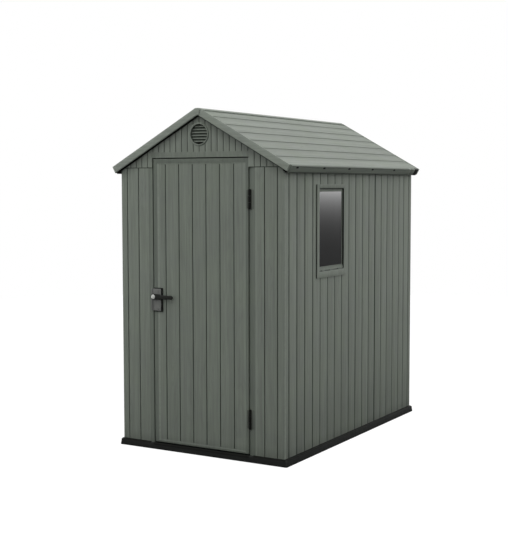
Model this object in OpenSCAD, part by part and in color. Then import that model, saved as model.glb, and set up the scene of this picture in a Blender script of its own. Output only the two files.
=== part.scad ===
// Plastic garden shed: gabled resin storage shed with one hinged door,
// one fixed side window and a round louvred vent in each gable.
// Frame: origin at the centre of the floor base's underside, front (door
// side) faces -Y, +X is the right side when facing the front, +Z is up.
// All sizes in millimetres.

/* [Walls] */
// Width over the outer faces of the side walls
wall_w = 1148; // [1100:1:1200]
// Depth over the outer faces of the front and back walls
wall_d = 1806; // [1780:1:1840]
// Thickness of the double-skinned wall panels
wall_t = 20; // [16:1:24]
// Rounding of the four upright outer corners
corner_r = 10; // [4:1:14]
// Height of the joint between the wall panels and the gables
gable_z = 1704; // [1700:1:1706]

/* [Floor base] */
// Width of the floor base at the ground
base_w = 1178; // [1160:1:1230]
// Depth of the floor base at the ground
base_d = 1827; // [1822:1:1840]
// Height of the floor base
base_h = 38; // [30:1:42]
// How far each side of the base leans in towards its top
base_lean = 5; // [2:1:6]

/* [Roof] */
// Width over the eaves
roof_w = 1252; // [1230:1:1260]
// Depth over the rake trims
roof_d = 1845; // [1842:1:1852]
// Height of the ridge above the ground
ridge_z = 2050; // [2048:1:2056]
// Pitch of each slope in degrees
roof_pitch = 28.9; // [28.7:0.1:29.2]
// Thickness of the roof panels, square to the slope
roof_t = 24; // [20:1:26]
// Depth of the rake trims, square to the slope
rake_h = 42; // [40:1:48]
// Depth of the eave fascias, square to the slope
eave_h = 45; // [40:1:48]

/* [Door] */
// Width of the door leaf
leaf_w = 665.5; // [655:0.5:666]
// Right-hand edge of the door leaf, on the hinge side
leaf_right = 332; // [331:0.5:332]
// Underside of the door leaf
leaf_z0 = 47; // [45:1:52]
// Top of the door leaf
leaf_z1 = 1759; // [1755:1:1762]
// Thickness of the door leaf
leaf_t = 22; // [18:1:22]
// How far the leaf's rim lies behind the wall face
leaf_in = 7; // [6:0.5:8]
// Outer radius of the hinge knuckles
hinge_r = 8; // [6:0.5:8]
// Middle height of the lower hinge
hinge_low_z = 249; // [200:1:400]
// Middle height of the upper hinge
hinge_up_z = 1523; // [1350:1:1600]

/* [Window] */
// Middle of the window along the side wall
win_y = -335; // [-345:1:-325]
// Outer width of the window frame
win_w = 382; // [370:1:390]
// Underside of the window frame
win_z0 = 1050; // [1000:1:1100]
// Outer height of the window frame
win_h = 558; // [500:1:570]
// How far the window frame stands off the wall face
win_proud = 8; // [5:1:12]

/* [Vents] */
// Height of the middle of each gable vent
vent_z = 1899; // [1885:1:1904]
// Outer diameter of the vent ring
vent_d = 130; // [120:1:134]

/* [Hidden] */
$fn = 48;

wall_green = [0.40, 0.43, 0.39];
roof_green = [0.56, 0.59, 0.55];
trim_green = [0.46, 0.49, 0.45];
dark_green = [0.30, 0.32, 0.29];
base_black = [0.10, 0.10, 0.10];
part_black = [0.07, 0.07, 0.07];
part_grey = [0.22, 0.22, 0.22];

ww = wall_w / 2;            // outer face of a side wall
wd = wall_d / 2;            // outer face of the front and back walls
front_y = -wd;
ridge_f = 13.5;             // half width of the flat along the ridge
c = cos(roof_pitch);
s = sin(roof_pitch);
slope_len = (roof_w / 2 - ridge_f) / c;
cap_d = 2;                  // roof panels lie this far below the trims' tops

// A point of the right-hand slope in the X-Z plane: along is measured down
// the slope from the ridge corner, deep square to it, into the roof.
function sl(along, deep) =
    [ridge_f + along * c - deep * s, ridge_z - along * s - deep * c];
// Height of the surface that lies deep below the slope, above x
function slope_z(x, deep) = ridge_z + (ridge_f - x) * s / c - deep / c;
function flip(p) = [-p[0], p[1]];

under = cap_d + roof_t;     // depth of the roof panels' underside
seat = under + 0.1;         // wall and gable tops, a hair below it
eave_t = 16;                // thickness of the eave fascias along the slope
cap_z = ridge_z - 9;        // top of the roof panels where they meet
cap_x = ridge_f + ((ridge_z - cap_z) - cap_d * c) / s * c - cap_d * s;

jamb_left = -341.5;         // free side of the doorway
jamb_right = 340;           // hinge side of the doorway
head_z = leaf_z1 + 6;       // underside of the header band over the door
reveal_left = 26.5;         // width of the slanting reveal, free side
reveal_left_in = 6;
reveal_right = 42;          // width of the slanting reveal, hinge side
reveal_right_in = 14;

leaf_left = leaf_right - leaf_w;
leaf_y = front_y + leaf_in;          // rim plane of the door leaf
leaf_back = leaf_y + leaf_t;
stop_y = leaf_back + 6;              // front of the door stops
stop_t = 12;

hinge_x = 342;
hinge_y = front_y + 3;
hinge_len = 102;
pin_r = 3;

latch_z0 = 847;
latch_z1 = 980;
latch_y = front_y - 4;               // front of the latch plate and keeper
pivot_x = -328;
pivot_z = 931.6;
spindle_r = 3.5;

// The side walls are three panels each, with joints at these places
side_joint_1 = 8;
side_joint_2 = 298;

// ---------------------------------------------------------------- helpers

// Extrudes an X-Z outline along Y, from y0 to y1
module along_y(y0, y1) {
    translate([0, y1, 0]) rotate([90, 0, 0])
        linear_extrude(height = y1 - y0) children();
}

// Extrudes a Y-Z outline along X, from x0 to x1
module along_x(x0, x1) {
    translate([x0, 0, 0]) rotate([90, 0, 90])
        linear_extrude(height = x1 - x0) children();
}

module block(lo, hi) {
    translate(lo) cube([hi[0] - lo[0], hi[1] - lo[1], hi[2] - lo[2]]);
}

// Plan of an end-wall panel at the shed's left-front corner, seen from above
module corner_plan(x_in) {
    difference() {
        translate([-ww, front_y]) square([ww + x_in, wall_t]);
        translate([-ww, front_y]) difference() {
            translate([-1, -1]) square(corner_r + 1);
            translate([corner_r, corner_r]) circle(corner_r);
        }
    }
}

// ------------------------------------------------------------- floor base

module floor_base() {
    color(base_black) intersection() {
        along_y(-base_d / 2, base_d / 2) polygon([
            [-base_w / 2, 0], [base_w / 2, 0], [base_w / 2, 4],
            [base_w / 2 - base_lean, base_h - 2],
            [base_w / 2 - base_lean - 2, base_h],
            [-base_w / 2 + base_lean + 2, base_h],
            [-base_w / 2 + base_lean, base_h - 2], [-base_w / 2, 4]]);
        along_x(-base_w / 2, base_w / 2) polygon([
            [-base_d / 2, 0], [base_d / 2, 0], [base_d / 2, 4],
            [base_d / 2 - base_lean + 2, base_h - 2],
            [base_d / 2 - base_lean, base_h],
            [-base_d / 2 + base_lean, base_h],
            [-base_d / 2 + base_lean - 2, base_h - 2], [-base_d / 2, 4]]);
    }
}

// ------------------------------------------------------ front and back wall

module front_panel_left() {
    color(wall_green) translate([0, 0, base_h])
        linear_extrude(height = gable_z - base_h) difference() {
            corner_plan(jamb_left);
            polygon([[jamb_left - reveal_left, front_y],
                     [jamb_left - reveal_left, front_y - 1],
                     [jamb_left + 1, front_y - 1],
                     [jamb_left + 1, front_y + reveal_left_in],
                     [jamb_left, front_y + reveal_left_in]]);
        }
}

module front_panel_right() {
    color(wall_green) translate([0, 0, base_h])
        linear_extrude(height = gable_z - base_h) difference() {
            mirror([1, 0]) corner_plan(-jamb_right);
            polygon([[jamb_right + reveal_right, front_y],
                     [jamb_right + reveal_right, front_y - 1],
                     [jamb_right - 1, front_y - 1],
                     [jamb_right - 1, front_y + reveal_right_in],
                     [jamb_right, front_y + reveal_right_in]]);
        }
}

module vent_hole(y0, y1) {
    translate([0, y1, vent_z]) rotate([90, 0, 0])
        cylinder(r = vent_d / 2 - 5, h = y1 - y0);
}

module front_gable() {
    color(wall_green) difference() {
        along_y(front_y, front_y + wall_t) polygon([
            [-ww, gable_z], [-ww, slope_z(ww, seat)], [0, slope_z(0, seat)],
            [ww, slope_z(ww, seat)], [ww, gable_z],
            [jamb_right, gable_z], [jamb_right, head_z],
            [jamb_left, head_z], [jamb_left, gable_z]]);
        vent_hole(front_y - 1, front_y + wall_t + 1);
    }
}

module back_gable() {
    color(wall_green) difference() {
        along_y(wd - wall_t, wd) polygon([
            [-ww, gable_z], [-ww, slope_z(ww, seat)], [0, slope_z(0, seat)],
            [ww, slope_z(ww, seat)], [ww, gable_z]]);
        vent_hole(wd - wall_t - 1, wd + 1);
    }
}

module back_corner_panel() {
    color(wall_green) translate([0, 0, base_h])
        linear_extrude(height = gable_z - base_h)
            mirror([0, 1]) corner_plan(jamb_left);
}

module back_panel_left() { back_corner_panel(); }
module back_panel_right() { mirror([1, 0, 0]) back_corner_panel(); }

module back_panel_middle() {
    color(wall_green)
        block([jamb_left, wd - wall_t, base_h], [-jamb_left, wd, gable_z]);
}

// One round louvred vent for the front gable
module vent() {
    r = vent_d / 2;
    difference() {
        union() {
            translate([0, front_y, vent_z]) rotate([90, 0, 0])
                cylinder(r = r, h = 9);
            translate([0, front_y + wall_t, vent_z]) rotate([90, 0, 0])
                cylinder(r = r - 5, h = wall_t + 1);
        }
        translate([0, front_y + wall_t + 1, vent_z]) rotate([90, 0, 0])
            cylinder(r = r - 9, h = wall_t + 20);
    }
    intersection() {
        translate([0, front_y + wall_t - 1, vent_z]) rotate([90, 0, 0])
            cylinder(r = r - 7, h = wall_t + 6);
        union() for (k = [-2.5 : 1 : 2.5])
            translate([0, front_y + 2, vent_z + k * 18]) rotate([35, 0, 0])
                block([-r, -9, -2], [r, 9, 2]);
    }
}

module front_vent() { color(wall_green) vent(); }
module back_vent() { color(wall_green) mirror([0, 1, 0]) vent(); }

// --------------------------------------------------------------- side walls

module side_panel(y0, y1) {
    along_y(y0, y1) polygon([
        [ww - wall_t, base_h], [ww, base_h],
        [ww, slope_z(ww, seat)],
        [ww - wall_t, slope_z(ww - wall_t, seat)]]);
}

win_in_y = win_w / 2 - 15;           // half width of the hole in the wall
win_in_z0 = win_z0 + 14;
win_in_z1 = win_z0 + win_h - 12;

module left_wall_front() {
    color(wall_green) mirror([1, 0, 0]) side_panel(front_y + wall_t, side_joint_1);
}
module left_wall_middle() {
    color(wall_green) mirror([1, 0, 0]) side_panel(side_joint_1, side_joint_2);
}
module left_wall_rear() {
    color(wall_green) mirror([1, 0, 0]) side_panel(side_joint_2, wd - wall_t);
}
module right_wall_front() {
    color(wall_green) difference() {
        side_panel(front_y + wall_t, side_joint_1);
        block([ww - wall_t - 5, win_y - win_in_y, win_in_z0],
              [ww + 5, win_y + win_in_y, win_in_z1]);
    }
}
module right_wall_middle() {
    color(wall_green) side_panel(side_joint_1, side_joint_2);
}
module right_wall_rear() {
    color(wall_green) side_panel(side_joint_2, wd - wall_t);
}

// ------------------------------------------------------------------- window

face_x = ww + win_proud;             // front face of the window frame
rebate_x = face_x - 6;               // bottom of the recess round the glass
rec_y = win_w / 2 - 29;              // half width of the recess
rec_z0 = win_z0 + 38;
rec_z1 = win_z0 + win_h - 24;
glass_y = rec_y - 15;                // half width of the glass that shows
glass_z0 = win_z0 + 67;
glass_z1 = win_z0 + win_h - 44;
pane_x = rebate_x - 1.5;             // outer face of the glass
pane_t = 4;
pane_lap = 6;

module window_pane() {
    color([0.30, 0.31, 0.32, 0.6])
        block([pane_x - pane_t, win_y - glass_y - pane_lap, glass_z0 - pane_lap],
              [pane_x, win_y + glass_y + pane_lap, glass_z1 + pane_lap]);
}

module window_frame() {
    color(trim_green) difference() {
        union() {
            block([ww, win_y - win_w / 2, win_z0],
                  [face_x, win_y + win_w / 2, win_z0 + win_h]);
            block([ww - wall_t - 2, win_y - win_in_y, win_in_z0],
                  [ww, win_y + win_in_y, win_in_z1]);
        }
        difference() {
            block([rebate_x, win_y - rec_y, rec_z0],
                  [face_x + 1, win_y + rec_y, rec_z1]);
            // sloping sill under the glass
            translate([0, win_y + rec_y + 1, 0]) rotate([90, 0, 0])
                linear_extrude(height = 2 * rec_y + 2) polygon([
                    [rebate_x - 1, rec_z0 - 1], [rebate_x - 1, glass_z0],
                    [rebate_x, glass_z0], [face_x - 1, rec_z0 + 4],
                    [face_x - 1, rec_z0 - 1]]);
        }
        block([ww - wall_t - 5, win_y - glass_y, glass_z0],
              [face_x, win_y + glass_y, glass_z1]);
        block([pane_x - pane_t, win_y - glass_y - pane_lap, glass_z0 - pane_lap],
              [pane_x, win_y + glass_y + pane_lap, glass_z1 + pane_lap]);
    }
}

// --------------------------------------------------------------- door frame

// Stops behind the edges of the door leaf
module door_post_left() {
    color(dark_green) translate([0, 0, base_h])
        linear_extrude(height = head_z - base_h) polygon([
            [jamb_left - 22, front_y + wall_t], [jamb_left - 22, stop_y + stop_t],
            [jamb_left + 24, stop_y + stop_t], [jamb_left + 24, stop_y],
            [jamb_left, stop_y], [jamb_left, front_y + wall_t]]);
}

module door_post_right() {
    color(dark_green) translate([0, 0, base_h])
        linear_extrude(height = head_z - base_h) polygon([
            [jamb_right + 22, front_y + wall_t], [jamb_right + 22, stop_y + stop_t],
            [jamb_right - 24, stop_y + stop_t], [jamb_right - 24, stop_y],
            [jamb_right, stop_y], [jamb_right, front_y + wall_t]]);
}

module door_header() {
    color(dark_green) along_x(jamb_left - 22, jamb_right + 22) polygon([
        [front_y + wall_t, head_z], [front_y + wall_t, head_z + 24],
        [stop_y + stop_t, head_z + 24], [stop_y + stop_t, head_z]]);
}

// --------------------------------------------------------------------- door

module door_leaf() {
    color(wall_green) difference() {
        block([leaf_left, leaf_y, leaf_z0], [leaf_right, leaf_back, leaf_z1]);
        // the planked field lies a little below the rim
        block([leaf_left + 18, leaf_y - 1, leaf_z0 + 16],
              [leaf_right - 18, leaf_y + 2, leaf_z1 - 27]);
    }
}

knuckle = 36;                        // length of the middle knuckle

module hinge_fixed(zc) {
    color(part_black) difference() {
        union() {
            translate([hinge_x, hinge_y, zc - hinge_len / 2])
                cylinder(r = hinge_r, h = hinge_len);
            // leaf plate lying on the slanting reveal
            translate([jamb_right, front_y + reveal_right_in, zc - hinge_len / 2])
                rotate([0, 0, -atan2(reveal_right_in, reveal_right)])
                    block([0.5, -3, 0], [34, 0, hinge_len]);
        }
        // room for the middle knuckle, which turns with the door
        translate([hinge_x, hinge_y, zc - knuckle / 2 - 1])
            cylinder(r = hinge_r + 1.2, h = knuckle + 2);
    }
    // pin through the knuckles
    color(part_black) translate([hinge_x, hinge_y, zc - hinge_len / 2 + 2])
        cylinder(r = pin_r, h = hinge_len - 4);
}

module hinge_moving(zc) {
    color(part_black) difference() {
        union() {
            translate([hinge_x, hinge_y, zc - knuckle / 2])
                cylinder(r = hinge_r, h = knuckle);
            block([leaf_right, leaf_y, zc - knuckle / 2],
                  [hinge_x - 4, leaf_y + 3, zc + knuckle / 2]);
            block([leaf_right, leaf_y, zc - knuckle / 2],
                  [leaf_right + 3, leaf_y + 14, zc + knuckle / 2]);
        }
        translate([hinge_x, hinge_y, zc - knuckle / 2 - 1])
            cylinder(r = pin_r + 0.06, h = knuckle + 2);
    }
}

module hinge_upper_fixed() { hinge_fixed(hinge_up_z); }
module hinge_lower_fixed() { hinge_fixed(hinge_low_z); }
module hinge_upper_moving() { hinge_moving(hinge_up_z); }
module hinge_lower_moving() { hinge_moving(hinge_low_z); }

// -------------------------------------------------------------------- latch

module latch_plate() {
    color(part_grey) difference() {
        union() {
            block([leaf_left, latch_y, latch_z0], [-277, leaf_y, latch_z1]);
            // the part of the plate that sits in the leaf's shallow field
            block([leaf_left + 18, leaf_y, latch_z0], [-277, leaf_y + 2, latch_z1]);
        }
        translate([pivot_x, leaf_y - 2, pivot_z]) rotate([90, 0, 0])
            cylinder(r = spindle_r + 0.05, h = 40);
    }
}

module latch_keeper() {
    color(part_grey)
        difference() {
            block([-352, latch_y, latch_z0], [jamb_left, front_y + reveal_left_in, latch_z1]);
            // seat on the slanting reveal
            translate([0, 0, latch_z0 - 1]) linear_extrude(height = latch_z1 - latch_z0 + 2)
                polygon([[jamb_left - reveal_left, front_y],
                         [jamb_left, front_y + reveal_left_in],
                         [jamb_left + 1, front_y + reveal_left_in + 9],
                         [jamb_left - reveal_left, front_y + reveal_left_in + 9]]);
        }
}

module latch_lever() {
    color(part_grey) {
        translate([pivot_x, latch_y + 7, pivot_z]) rotate([90, 0, 0])
            cylinder(r = spindle_r, h = 13);
        translate([pivot_x, latch_y - 5, pivot_z]) rotate([90, 0, 0])
            cylinder(r = 17, h = 8);
        block([pivot_x, latch_y - 11, pivot_z - 18], [-276, latch_y - 5, pivot_z + 18]);
        block([-300, latch_y - 14, pivot_z - 12], [-192, latch_y - 5, pivot_z + 12]);
        translate([-192, latch_y - 5, pivot_z]) rotate([90, 0, 0])
            cylinder(r = 12, h = 10);
    }
}

module lock_barrel() {
    color("silver") translate([pivot_x, latch_y - 13, pivot_z]) rotate([90, 0, 0])
        cylinder(r = 16.5, h = 2.4);
}

// --------------------------------------------------------------------- roof

module slope_panel() {
    along_y(front_y, wd) polygon([
        [0, slope_z(0, under)], [0, cap_z], [cap_x, cap_z],
        sl(slope_len - eave_t, cap_d), sl(slope_len - eave_t, under)]);
}

module roof_right() { color(roof_green) slope_panel(); }
module roof_left() { color(roof_green) mirror([1, 0, 0]) slope_panel(); }

module ridge_cap() {
    w = 34;
    color(roof_green) along_y(front_y, wd) polygon([
        [-ridge_f, ridge_z], [ridge_f, ridge_z], sl(w, 0), sl(w, cap_d),
        [cap_x, cap_z], [-cap_x, cap_z], flip(sl(w, cap_d)), flip(sl(w, 0))]);
}

module rake_right_outline() {
    polygon([sl(0, 0), sl(slope_len, 0), sl(slope_len, rake_h), sl(0, rake_h)]);
}
module rake_left_outline() {
    polygon([sl(0, 0), flip(sl(0, 0)), flip(sl(slope_len, 0)),
             flip(sl(slope_len, rake_h)), [0, slope_z(0, rake_h)], sl(0, rake_h)]);
}

module rake_front_right() {
    color(trim_green) along_y(-roof_d / 2, front_y) rake_right_outline();
}
module rake_front_left() {
    color(trim_green) along_y(-roof_d / 2, front_y) rake_left_outline();
}
module rake_back_right() {
    color(trim_green) along_y(wd, roof_d / 2) rake_right_outline();
}
module rake_back_left() {
    color(trim_green) along_y(wd, roof_d / 2) rake_left_outline();
}

module eave() {
    along_y(front_y, wd) polygon([
        sl(slope_len - eave_t + 0.1, 1), sl(slope_len, 1),
        sl(slope_len, eave_h), sl(slope_len - eave_t + 0.1, eave_h)]);
}
module eave_right() { color(dark_green) eave(); }
module eave_left() { color(dark_green) mirror([1, 0, 0]) eave(); }

// ------------------------------------------------------------------- output

floor_base();
front_panel_left();
front_panel_right();
front_gable();
front_vent();
back_panel_left();
back_panel_middle();
back_panel_right();
back_gable();
back_vent();
left_wall_front();
left_wall_middle();
left_wall_rear();
right_wall_front();
right_wall_middle();
right_wall_rear();
window_frame();
window_pane();
door_post_left();
door_post_right();
door_header();
door_leaf();
hinge_upper_fixed();
hinge_lower_fixed();
hinge_upper_moving();
hinge_lower_moving();
latch_plate();
latch_keeper();
latch_lever();
lock_barrel();
roof_left();
roof_right();
ridge_cap();
rake_front_left();
rake_front_right();
rake_back_left();
rake_back_right();
eave_left();
eave_right();
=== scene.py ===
"""The looks of the plastic garden shed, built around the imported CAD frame."""

import math
from bisect import bisect

import bmesh
import bpy
import numpy as np
from mathutils import Matrix, Vector


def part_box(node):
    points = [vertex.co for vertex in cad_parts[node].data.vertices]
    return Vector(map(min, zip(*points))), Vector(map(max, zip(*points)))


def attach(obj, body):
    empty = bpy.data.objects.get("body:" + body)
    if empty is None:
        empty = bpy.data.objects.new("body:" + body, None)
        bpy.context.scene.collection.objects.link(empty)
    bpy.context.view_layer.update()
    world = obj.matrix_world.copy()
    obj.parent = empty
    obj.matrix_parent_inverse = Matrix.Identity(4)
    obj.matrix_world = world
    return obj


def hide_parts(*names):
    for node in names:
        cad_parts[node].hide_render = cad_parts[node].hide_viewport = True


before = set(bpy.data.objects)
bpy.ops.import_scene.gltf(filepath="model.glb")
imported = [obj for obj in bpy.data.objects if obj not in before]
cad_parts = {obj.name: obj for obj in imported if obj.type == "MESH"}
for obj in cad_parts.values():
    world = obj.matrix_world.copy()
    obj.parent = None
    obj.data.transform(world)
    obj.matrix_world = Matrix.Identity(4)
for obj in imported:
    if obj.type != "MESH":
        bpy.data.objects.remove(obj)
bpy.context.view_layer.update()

# ------------------------------------------------------------------ sizes
# Everything below is in millimetres in the part's own frame; meshes are
# scaled to metres as they are written.


def box(node):
    lo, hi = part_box(node)
    return [v * 1000.0 for v in lo], [v * 1000.0 for v in hi]


_lo, _hi = box("right_wall_front")
WW = _hi[0]                          # outer face of the side walls
WT = _hi[0] - _lo[0]                 # thickness of the walls
_lo, _hi = box("front_panel_left")
FY = _lo[1]                          # outer face of the front wall
BASE_H = _lo[2]                      # top of the floor base
GZ = _hi[2]                          # joint between panels and gable
JAMB_L = _hi[0]                      # free side of the doorway
BY = box("back_panel_left")[1][1]    # outer face of the back wall
JAMB_R = box("front_panel_right")[0][0]
HEAD_Z = box("front_gable")[0][2] if box("front_gable")[0][2] > GZ else box("door_leaf")[1][2] + 6
LEAF_LO, LEAF_HI = box("door_leaf")
EAVE_X = box("rake_front_right")[1][0]
RAKE_Y0 = box("rake_front_right")[0][1]
RAKE_Y1 = box("rake_back_right")[1][1]
RIDGE_Z = box("ridge_cap")[1][2]
JOINT_1 = box("right_wall_front")[1][1]
JOINT_2 = box("right_wall_middle")[1][1]
WIN_LO, WIN_HI = box("window_frame")
BASE_LO, BASE_HI = box("floor_base")
PLATE_LO, PLATE_HI = box("latch_plate")
KEEP_LO, KEEP_HI = box("latch_keeper")
LOCK_LO, LOCK_HI = box("lock_barrel")
VENT_LO, VENT_HI = box("front_vent")

PITCH = math.radians(28.9)
C, S = math.cos(PITCH), math.sin(PITCH)
RIDGE_F = 13.5                       # half width of the flat along the ridge
SLOPE_L = (EAVE_X - RIDGE_F) / C
RAKE_H = 42.0
EAVE_H = 48.0
EAVE_T = 16.0
UNDER = 26.0                         # underside of the roof panels


def sl(along, deep):
    """x and z of a point of the right-hand slope."""
    return (RIDGE_F + along * C - deep * S, RIDGE_Z - along * S - deep * C)


def slope_z(x, deep):
    return RIDGE_Z + (RIDGE_F - x) * S / C - deep / C


GABLE_PITCH = 41.6
FRONT_GROOVES = [442.2, 527.1]
DOOR_GROOVES = [-250.0, -153.5, -56.4, 38.3, 134.5, 230.7]
BACK_GROOVES = [-239.0, -143.4, -47.8, 47.8, 143.4, 239.0]
SIDE_GROOVES = [-853.4, -760.0, -665.1, -567.0, -473.2, -377.2, -281.8, -187.3,
                -88.3, 109.0, 203.0, 395.2, 488.4, 584.4, 685.1, 766.8, 850.5]

# ------------------------------------------------------------ mesh helpers


def rnd(*key):
    """A steady pseudo-random number from 0 to 1 for a key."""
    v = math.sin(sum((i + 1.37) * 12.9898 * float(k) for i, k in enumerate(key)) + 4.1) * 43758.5453
    return v - math.floor(v)


def to_object(bm, name, smooth=32.0):
    """Writes the bmesh, in millimetres, to a new object in metres."""
    bmesh.ops.remove_doubles(bm, verts=bm.verts, dist=1e-4)
    bmesh.ops.recalc_face_normals(bm, faces=bm.faces)
    for v in bm.verts:
        v.co *= 0.001
    me = bpy.data.meshes.new(name)
    bm.to_mesh(me)
    bm.free()
    ob = bpy.data.objects.new(name, me)
    bpy.context.scene.collection.objects.link(ob)
    shade(ob, smooth)
    return ob


def shade(ob, smooth=32.0):
    me = ob.data
    me.shade_smooth()
    me.set_sharp_from_angle(angle=math.radians(smooth))


def loft(rings, bm=None, loop=False):
    """A solid through rings of 3-D points, each with as many points as the
    next; a loop joins the last ring to the first, else both ends are capped."""
    bm = bm or bmesh.new()
    vs = [[bm.verts.new(p) for p in ring] for ring in rings]
    n = len(rings[0])
    pairs = list(zip(vs, vs[1:]))
    if loop:
        pairs.append((vs[-1], vs[0]))
    for a, b in pairs:
        for i in range(n):
            j = (i + 1) % n
            bm.faces.new((a[i], a[j], b[j], b[i]))
    if not loop:
        bm.faces.new(list(reversed(vs[0])))
        bm.faces.new(vs[-1])
    return bm


def inset(poly, d):
    """The closed outline moved inwards by d, corner by corner."""
    n = len(poly)
    area = sum(poly[i][0] * poly[(i + 1) % n][1] - poly[(i + 1) % n][0] * poly[i][1] for i in range(n))
    sign = 1.0 if area > 0 else -1.0
    out = []
    for i in range(n):
        p0, p1, p2 = Vector(poly[i - 1]), Vector(poly[i]), Vector(poly[(i + 1) % n])
        a, b = (p1 - p0).normalized(), (p2 - p1).normalized()
        na, nb = Vector((-a.y, a.x)) * sign, Vector((-b.y, b.x)) * sign
        m = na + nb
        if m.length < 1e-6:
            m = na.copy()
        m.normalize()
        k = min(1.0 / max(m.dot(na), 0.35), 1.6)
        out.append(tuple(p1 + m * d * k))
    return out


def axis_point(axis, u, v, w):
    """(u, v) in the plane square to axis, w along it."""
    return {"x": (w, u, v), "y": (u, w, v), "z": (u, v, w)}[axis]


def prism(poly, axis, a, b, cham=0.0, bm=None):
    """An outline extruded along an axis from a to b, with chamfered ends."""
    if cham:
        small = inset(poly, cham)
        stack = [(small, a), (poly, a + cham), (poly, b - cham), (small, b)]
    else:
        stack = [(poly, a), (poly, b)]
    return loft([[axis_point(axis, p[0], p[1], w) for p in q] for q, w in stack], bm)


def rounded(x0, x1, y0, y1, r, n=5):
    """A rectangle's outline with round corners."""
    r = max(min(r, (x1 - x0) / 2 - 1e-3, (y1 - y0) / 2 - 1e-3), 1e-3)
    pts = []
    for cx, cy, a0 in ((x1 - r, y0 + r, -90), (x1 - r, y1 - r, 0), (x0 + r, y1 - r, 90), (x0 + r, y0 + r, 180)):
        for k in range(n + 1):
            a = math.radians(a0 + 90.0 * k / n)
            pts.append((cx + r * math.cos(a), cy + r * math.sin(a)))
    return pts


def circle(cx, cy, r, n=48, a0=0.0):
    return [(cx + r * math.cos(a0 + 2 * math.pi * k / n), cy + r * math.sin(a0 + 2 * math.pi * k / n)) for k in range(n)]


def block(x0, x1, y0, y1, z0, z1, r=1.0, axis="y", corner=None, steps=2, bm=None):
    """A block with rounded corners seen along axis, and its end edges
    rounded by r."""
    corner = r if corner is None else corner
    lim = {"x": (y0, y1, z0, z1, x0, x1), "y": (x0, x1, z0, z1, y0, y1), "z": (x0, x1, y0, y1, z0, z1)}[axis]
    u0, u1, v0, v1, w0, w1 = lim
    rings = []
    for k in range(steps + 1):
        a = math.pi / 2 * k / steps
        d = r * (1 - math.sin(a))
        rings.append((d, w0 + r * (1 - math.cos(a))))
    rings += [(d, w0 + w1 - w) for d, w in reversed(rings)]
    out = []
    for d, w in rings:
        q = rounded(u0 + d, u1 - d, v0 + d, v1 - d, max(corner - d, 0.05), 4)
        out.append([axis_point(axis, p[0], p[1], w) for p in q])
    return loft(out, bm)


def turned(profile, axis, cu, cv, n=48, bm=None, closed=False):
    """A profile of (radius, w) points revolved about an axis through
    (cu, cv)."""
    rings = []
    for r, w in profile:
        rings.append([axis_point(axis, p[0], p[1], w) for p in circle(cu, cv, max(r, 1e-3), n)])
    return loft(rings, bm, loop=closed)


def cut(ob, *tools, keep=False):
    """Takes each tool's solid away from ob, and applies the result."""
    for t in tools:
        m = ob.modifiers.new("cut", "BOOLEAN")
        m.operation = "DIFFERENCE"
        m.object = t
        m.solver = "MANIFOLD"
    dg = bpy.context.evaluated_depsgraph_get()
    dg.update()
    me = bpy.data.meshes.new_from_object(ob.evaluated_get(dg), preserve_all_data_layers=True, depsgraph=dg)
    ob.modifiers.clear()
    old = ob.data
    ob.data = me
    me.name = ob.name
    bpy.data.meshes.remove(old)
    for t in tools:
        bpy.data.objects.remove(t)
    clean(ob)
    return ob


def clean(ob):
    bm = bmesh.new()
    bm.from_mesh(ob.data)
    bmesh.ops.remove_doubles(bm, verts=bm.verts, dist=2e-6)
    bmesh.ops.dissolve_degenerate(bm, dist=2e-6, edges=bm.edges)
    bm.to_mesh(ob.data)
    bm.free()
    shade(ob)


def join(name, *obs):
    """Several objects' meshes as one."""
    bm = bmesh.new()
    for o in obs:
        bm.from_mesh(o.data)
        bpy.data.objects.remove(o)
    me = bpy.data.meshes.new(name)
    bm.to_mesh(me)
    bm.free()
    ob = bpy.data.objects.new(name, me)
    bpy.context.scene.collection.objects.link(ob)
    shade(ob)
    return ob


# ------------------------------------------------- marks for the materials
# Each mesh carries three values that the materials read: a tone, a steady
# random number for each plank; a mark, 1 on the narrow rounded lips, which the
# materials paint lighter as a highlight; and painted shade, which grows with depth in a groove.


def mark(ob, outer, planks=(), along=0, thick=WT, deep=5.0, tone_of=None):
    """outer: list of (axis, plane, sign) of the outer faces."""
    me = ob.data
    n = len(me.polygons)
    tone = np.zeros(n, np.float32)
    edge = np.zeros(n, np.float32)
    co = np.array([v.co for v in me.vertices], float).reshape(-1, 3) * 1000.0
    depth = np.full(len(co), 1e9)
    for ax, plane, sign in outer:
        depth = np.minimum(depth, np.abs((plane - co[:, ax]) * sign))
    inside = depth > thick - 2.5
    # painted shade that grows with depth in a groove
    painted_shade = np.clip((depth - 0.6) / deep, 0, 1) ** 0.8
    painted_shade[inside] = 0.0
    for i, f in enumerate(me.polygons):
        cen = f.center * 1000.0
        if tone_of:
            tone[i] = tone_of(cen)
        elif planks:
            tone[i] = rnd(bisect(planks, cen[along]), along, round(outer[0][1]))
        d = min(abs((p - cen[a]) * s) for a, p, s in outer)
        out = max(f.normal[a] * s for a, p, s in outer)
        # a painted highlight on the narrow slanting lips by the outer faces
        if d < 2.2 and 0.25 < out < 0.97:
            edge[i] = 1.0
    put(me, "tone", "FACE", tone)
    put(me, "edge", "FACE", edge)
    put(me, "painted_shade", "POINT", painted_shade.astype(np.float32))


def put(me, name, domain, values):
    a = me.attributes.get(name) or me.attributes.new(name, "FLOAT", domain)
    a.data.foreach_set("value", np.asarray(values, np.float32))


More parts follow.
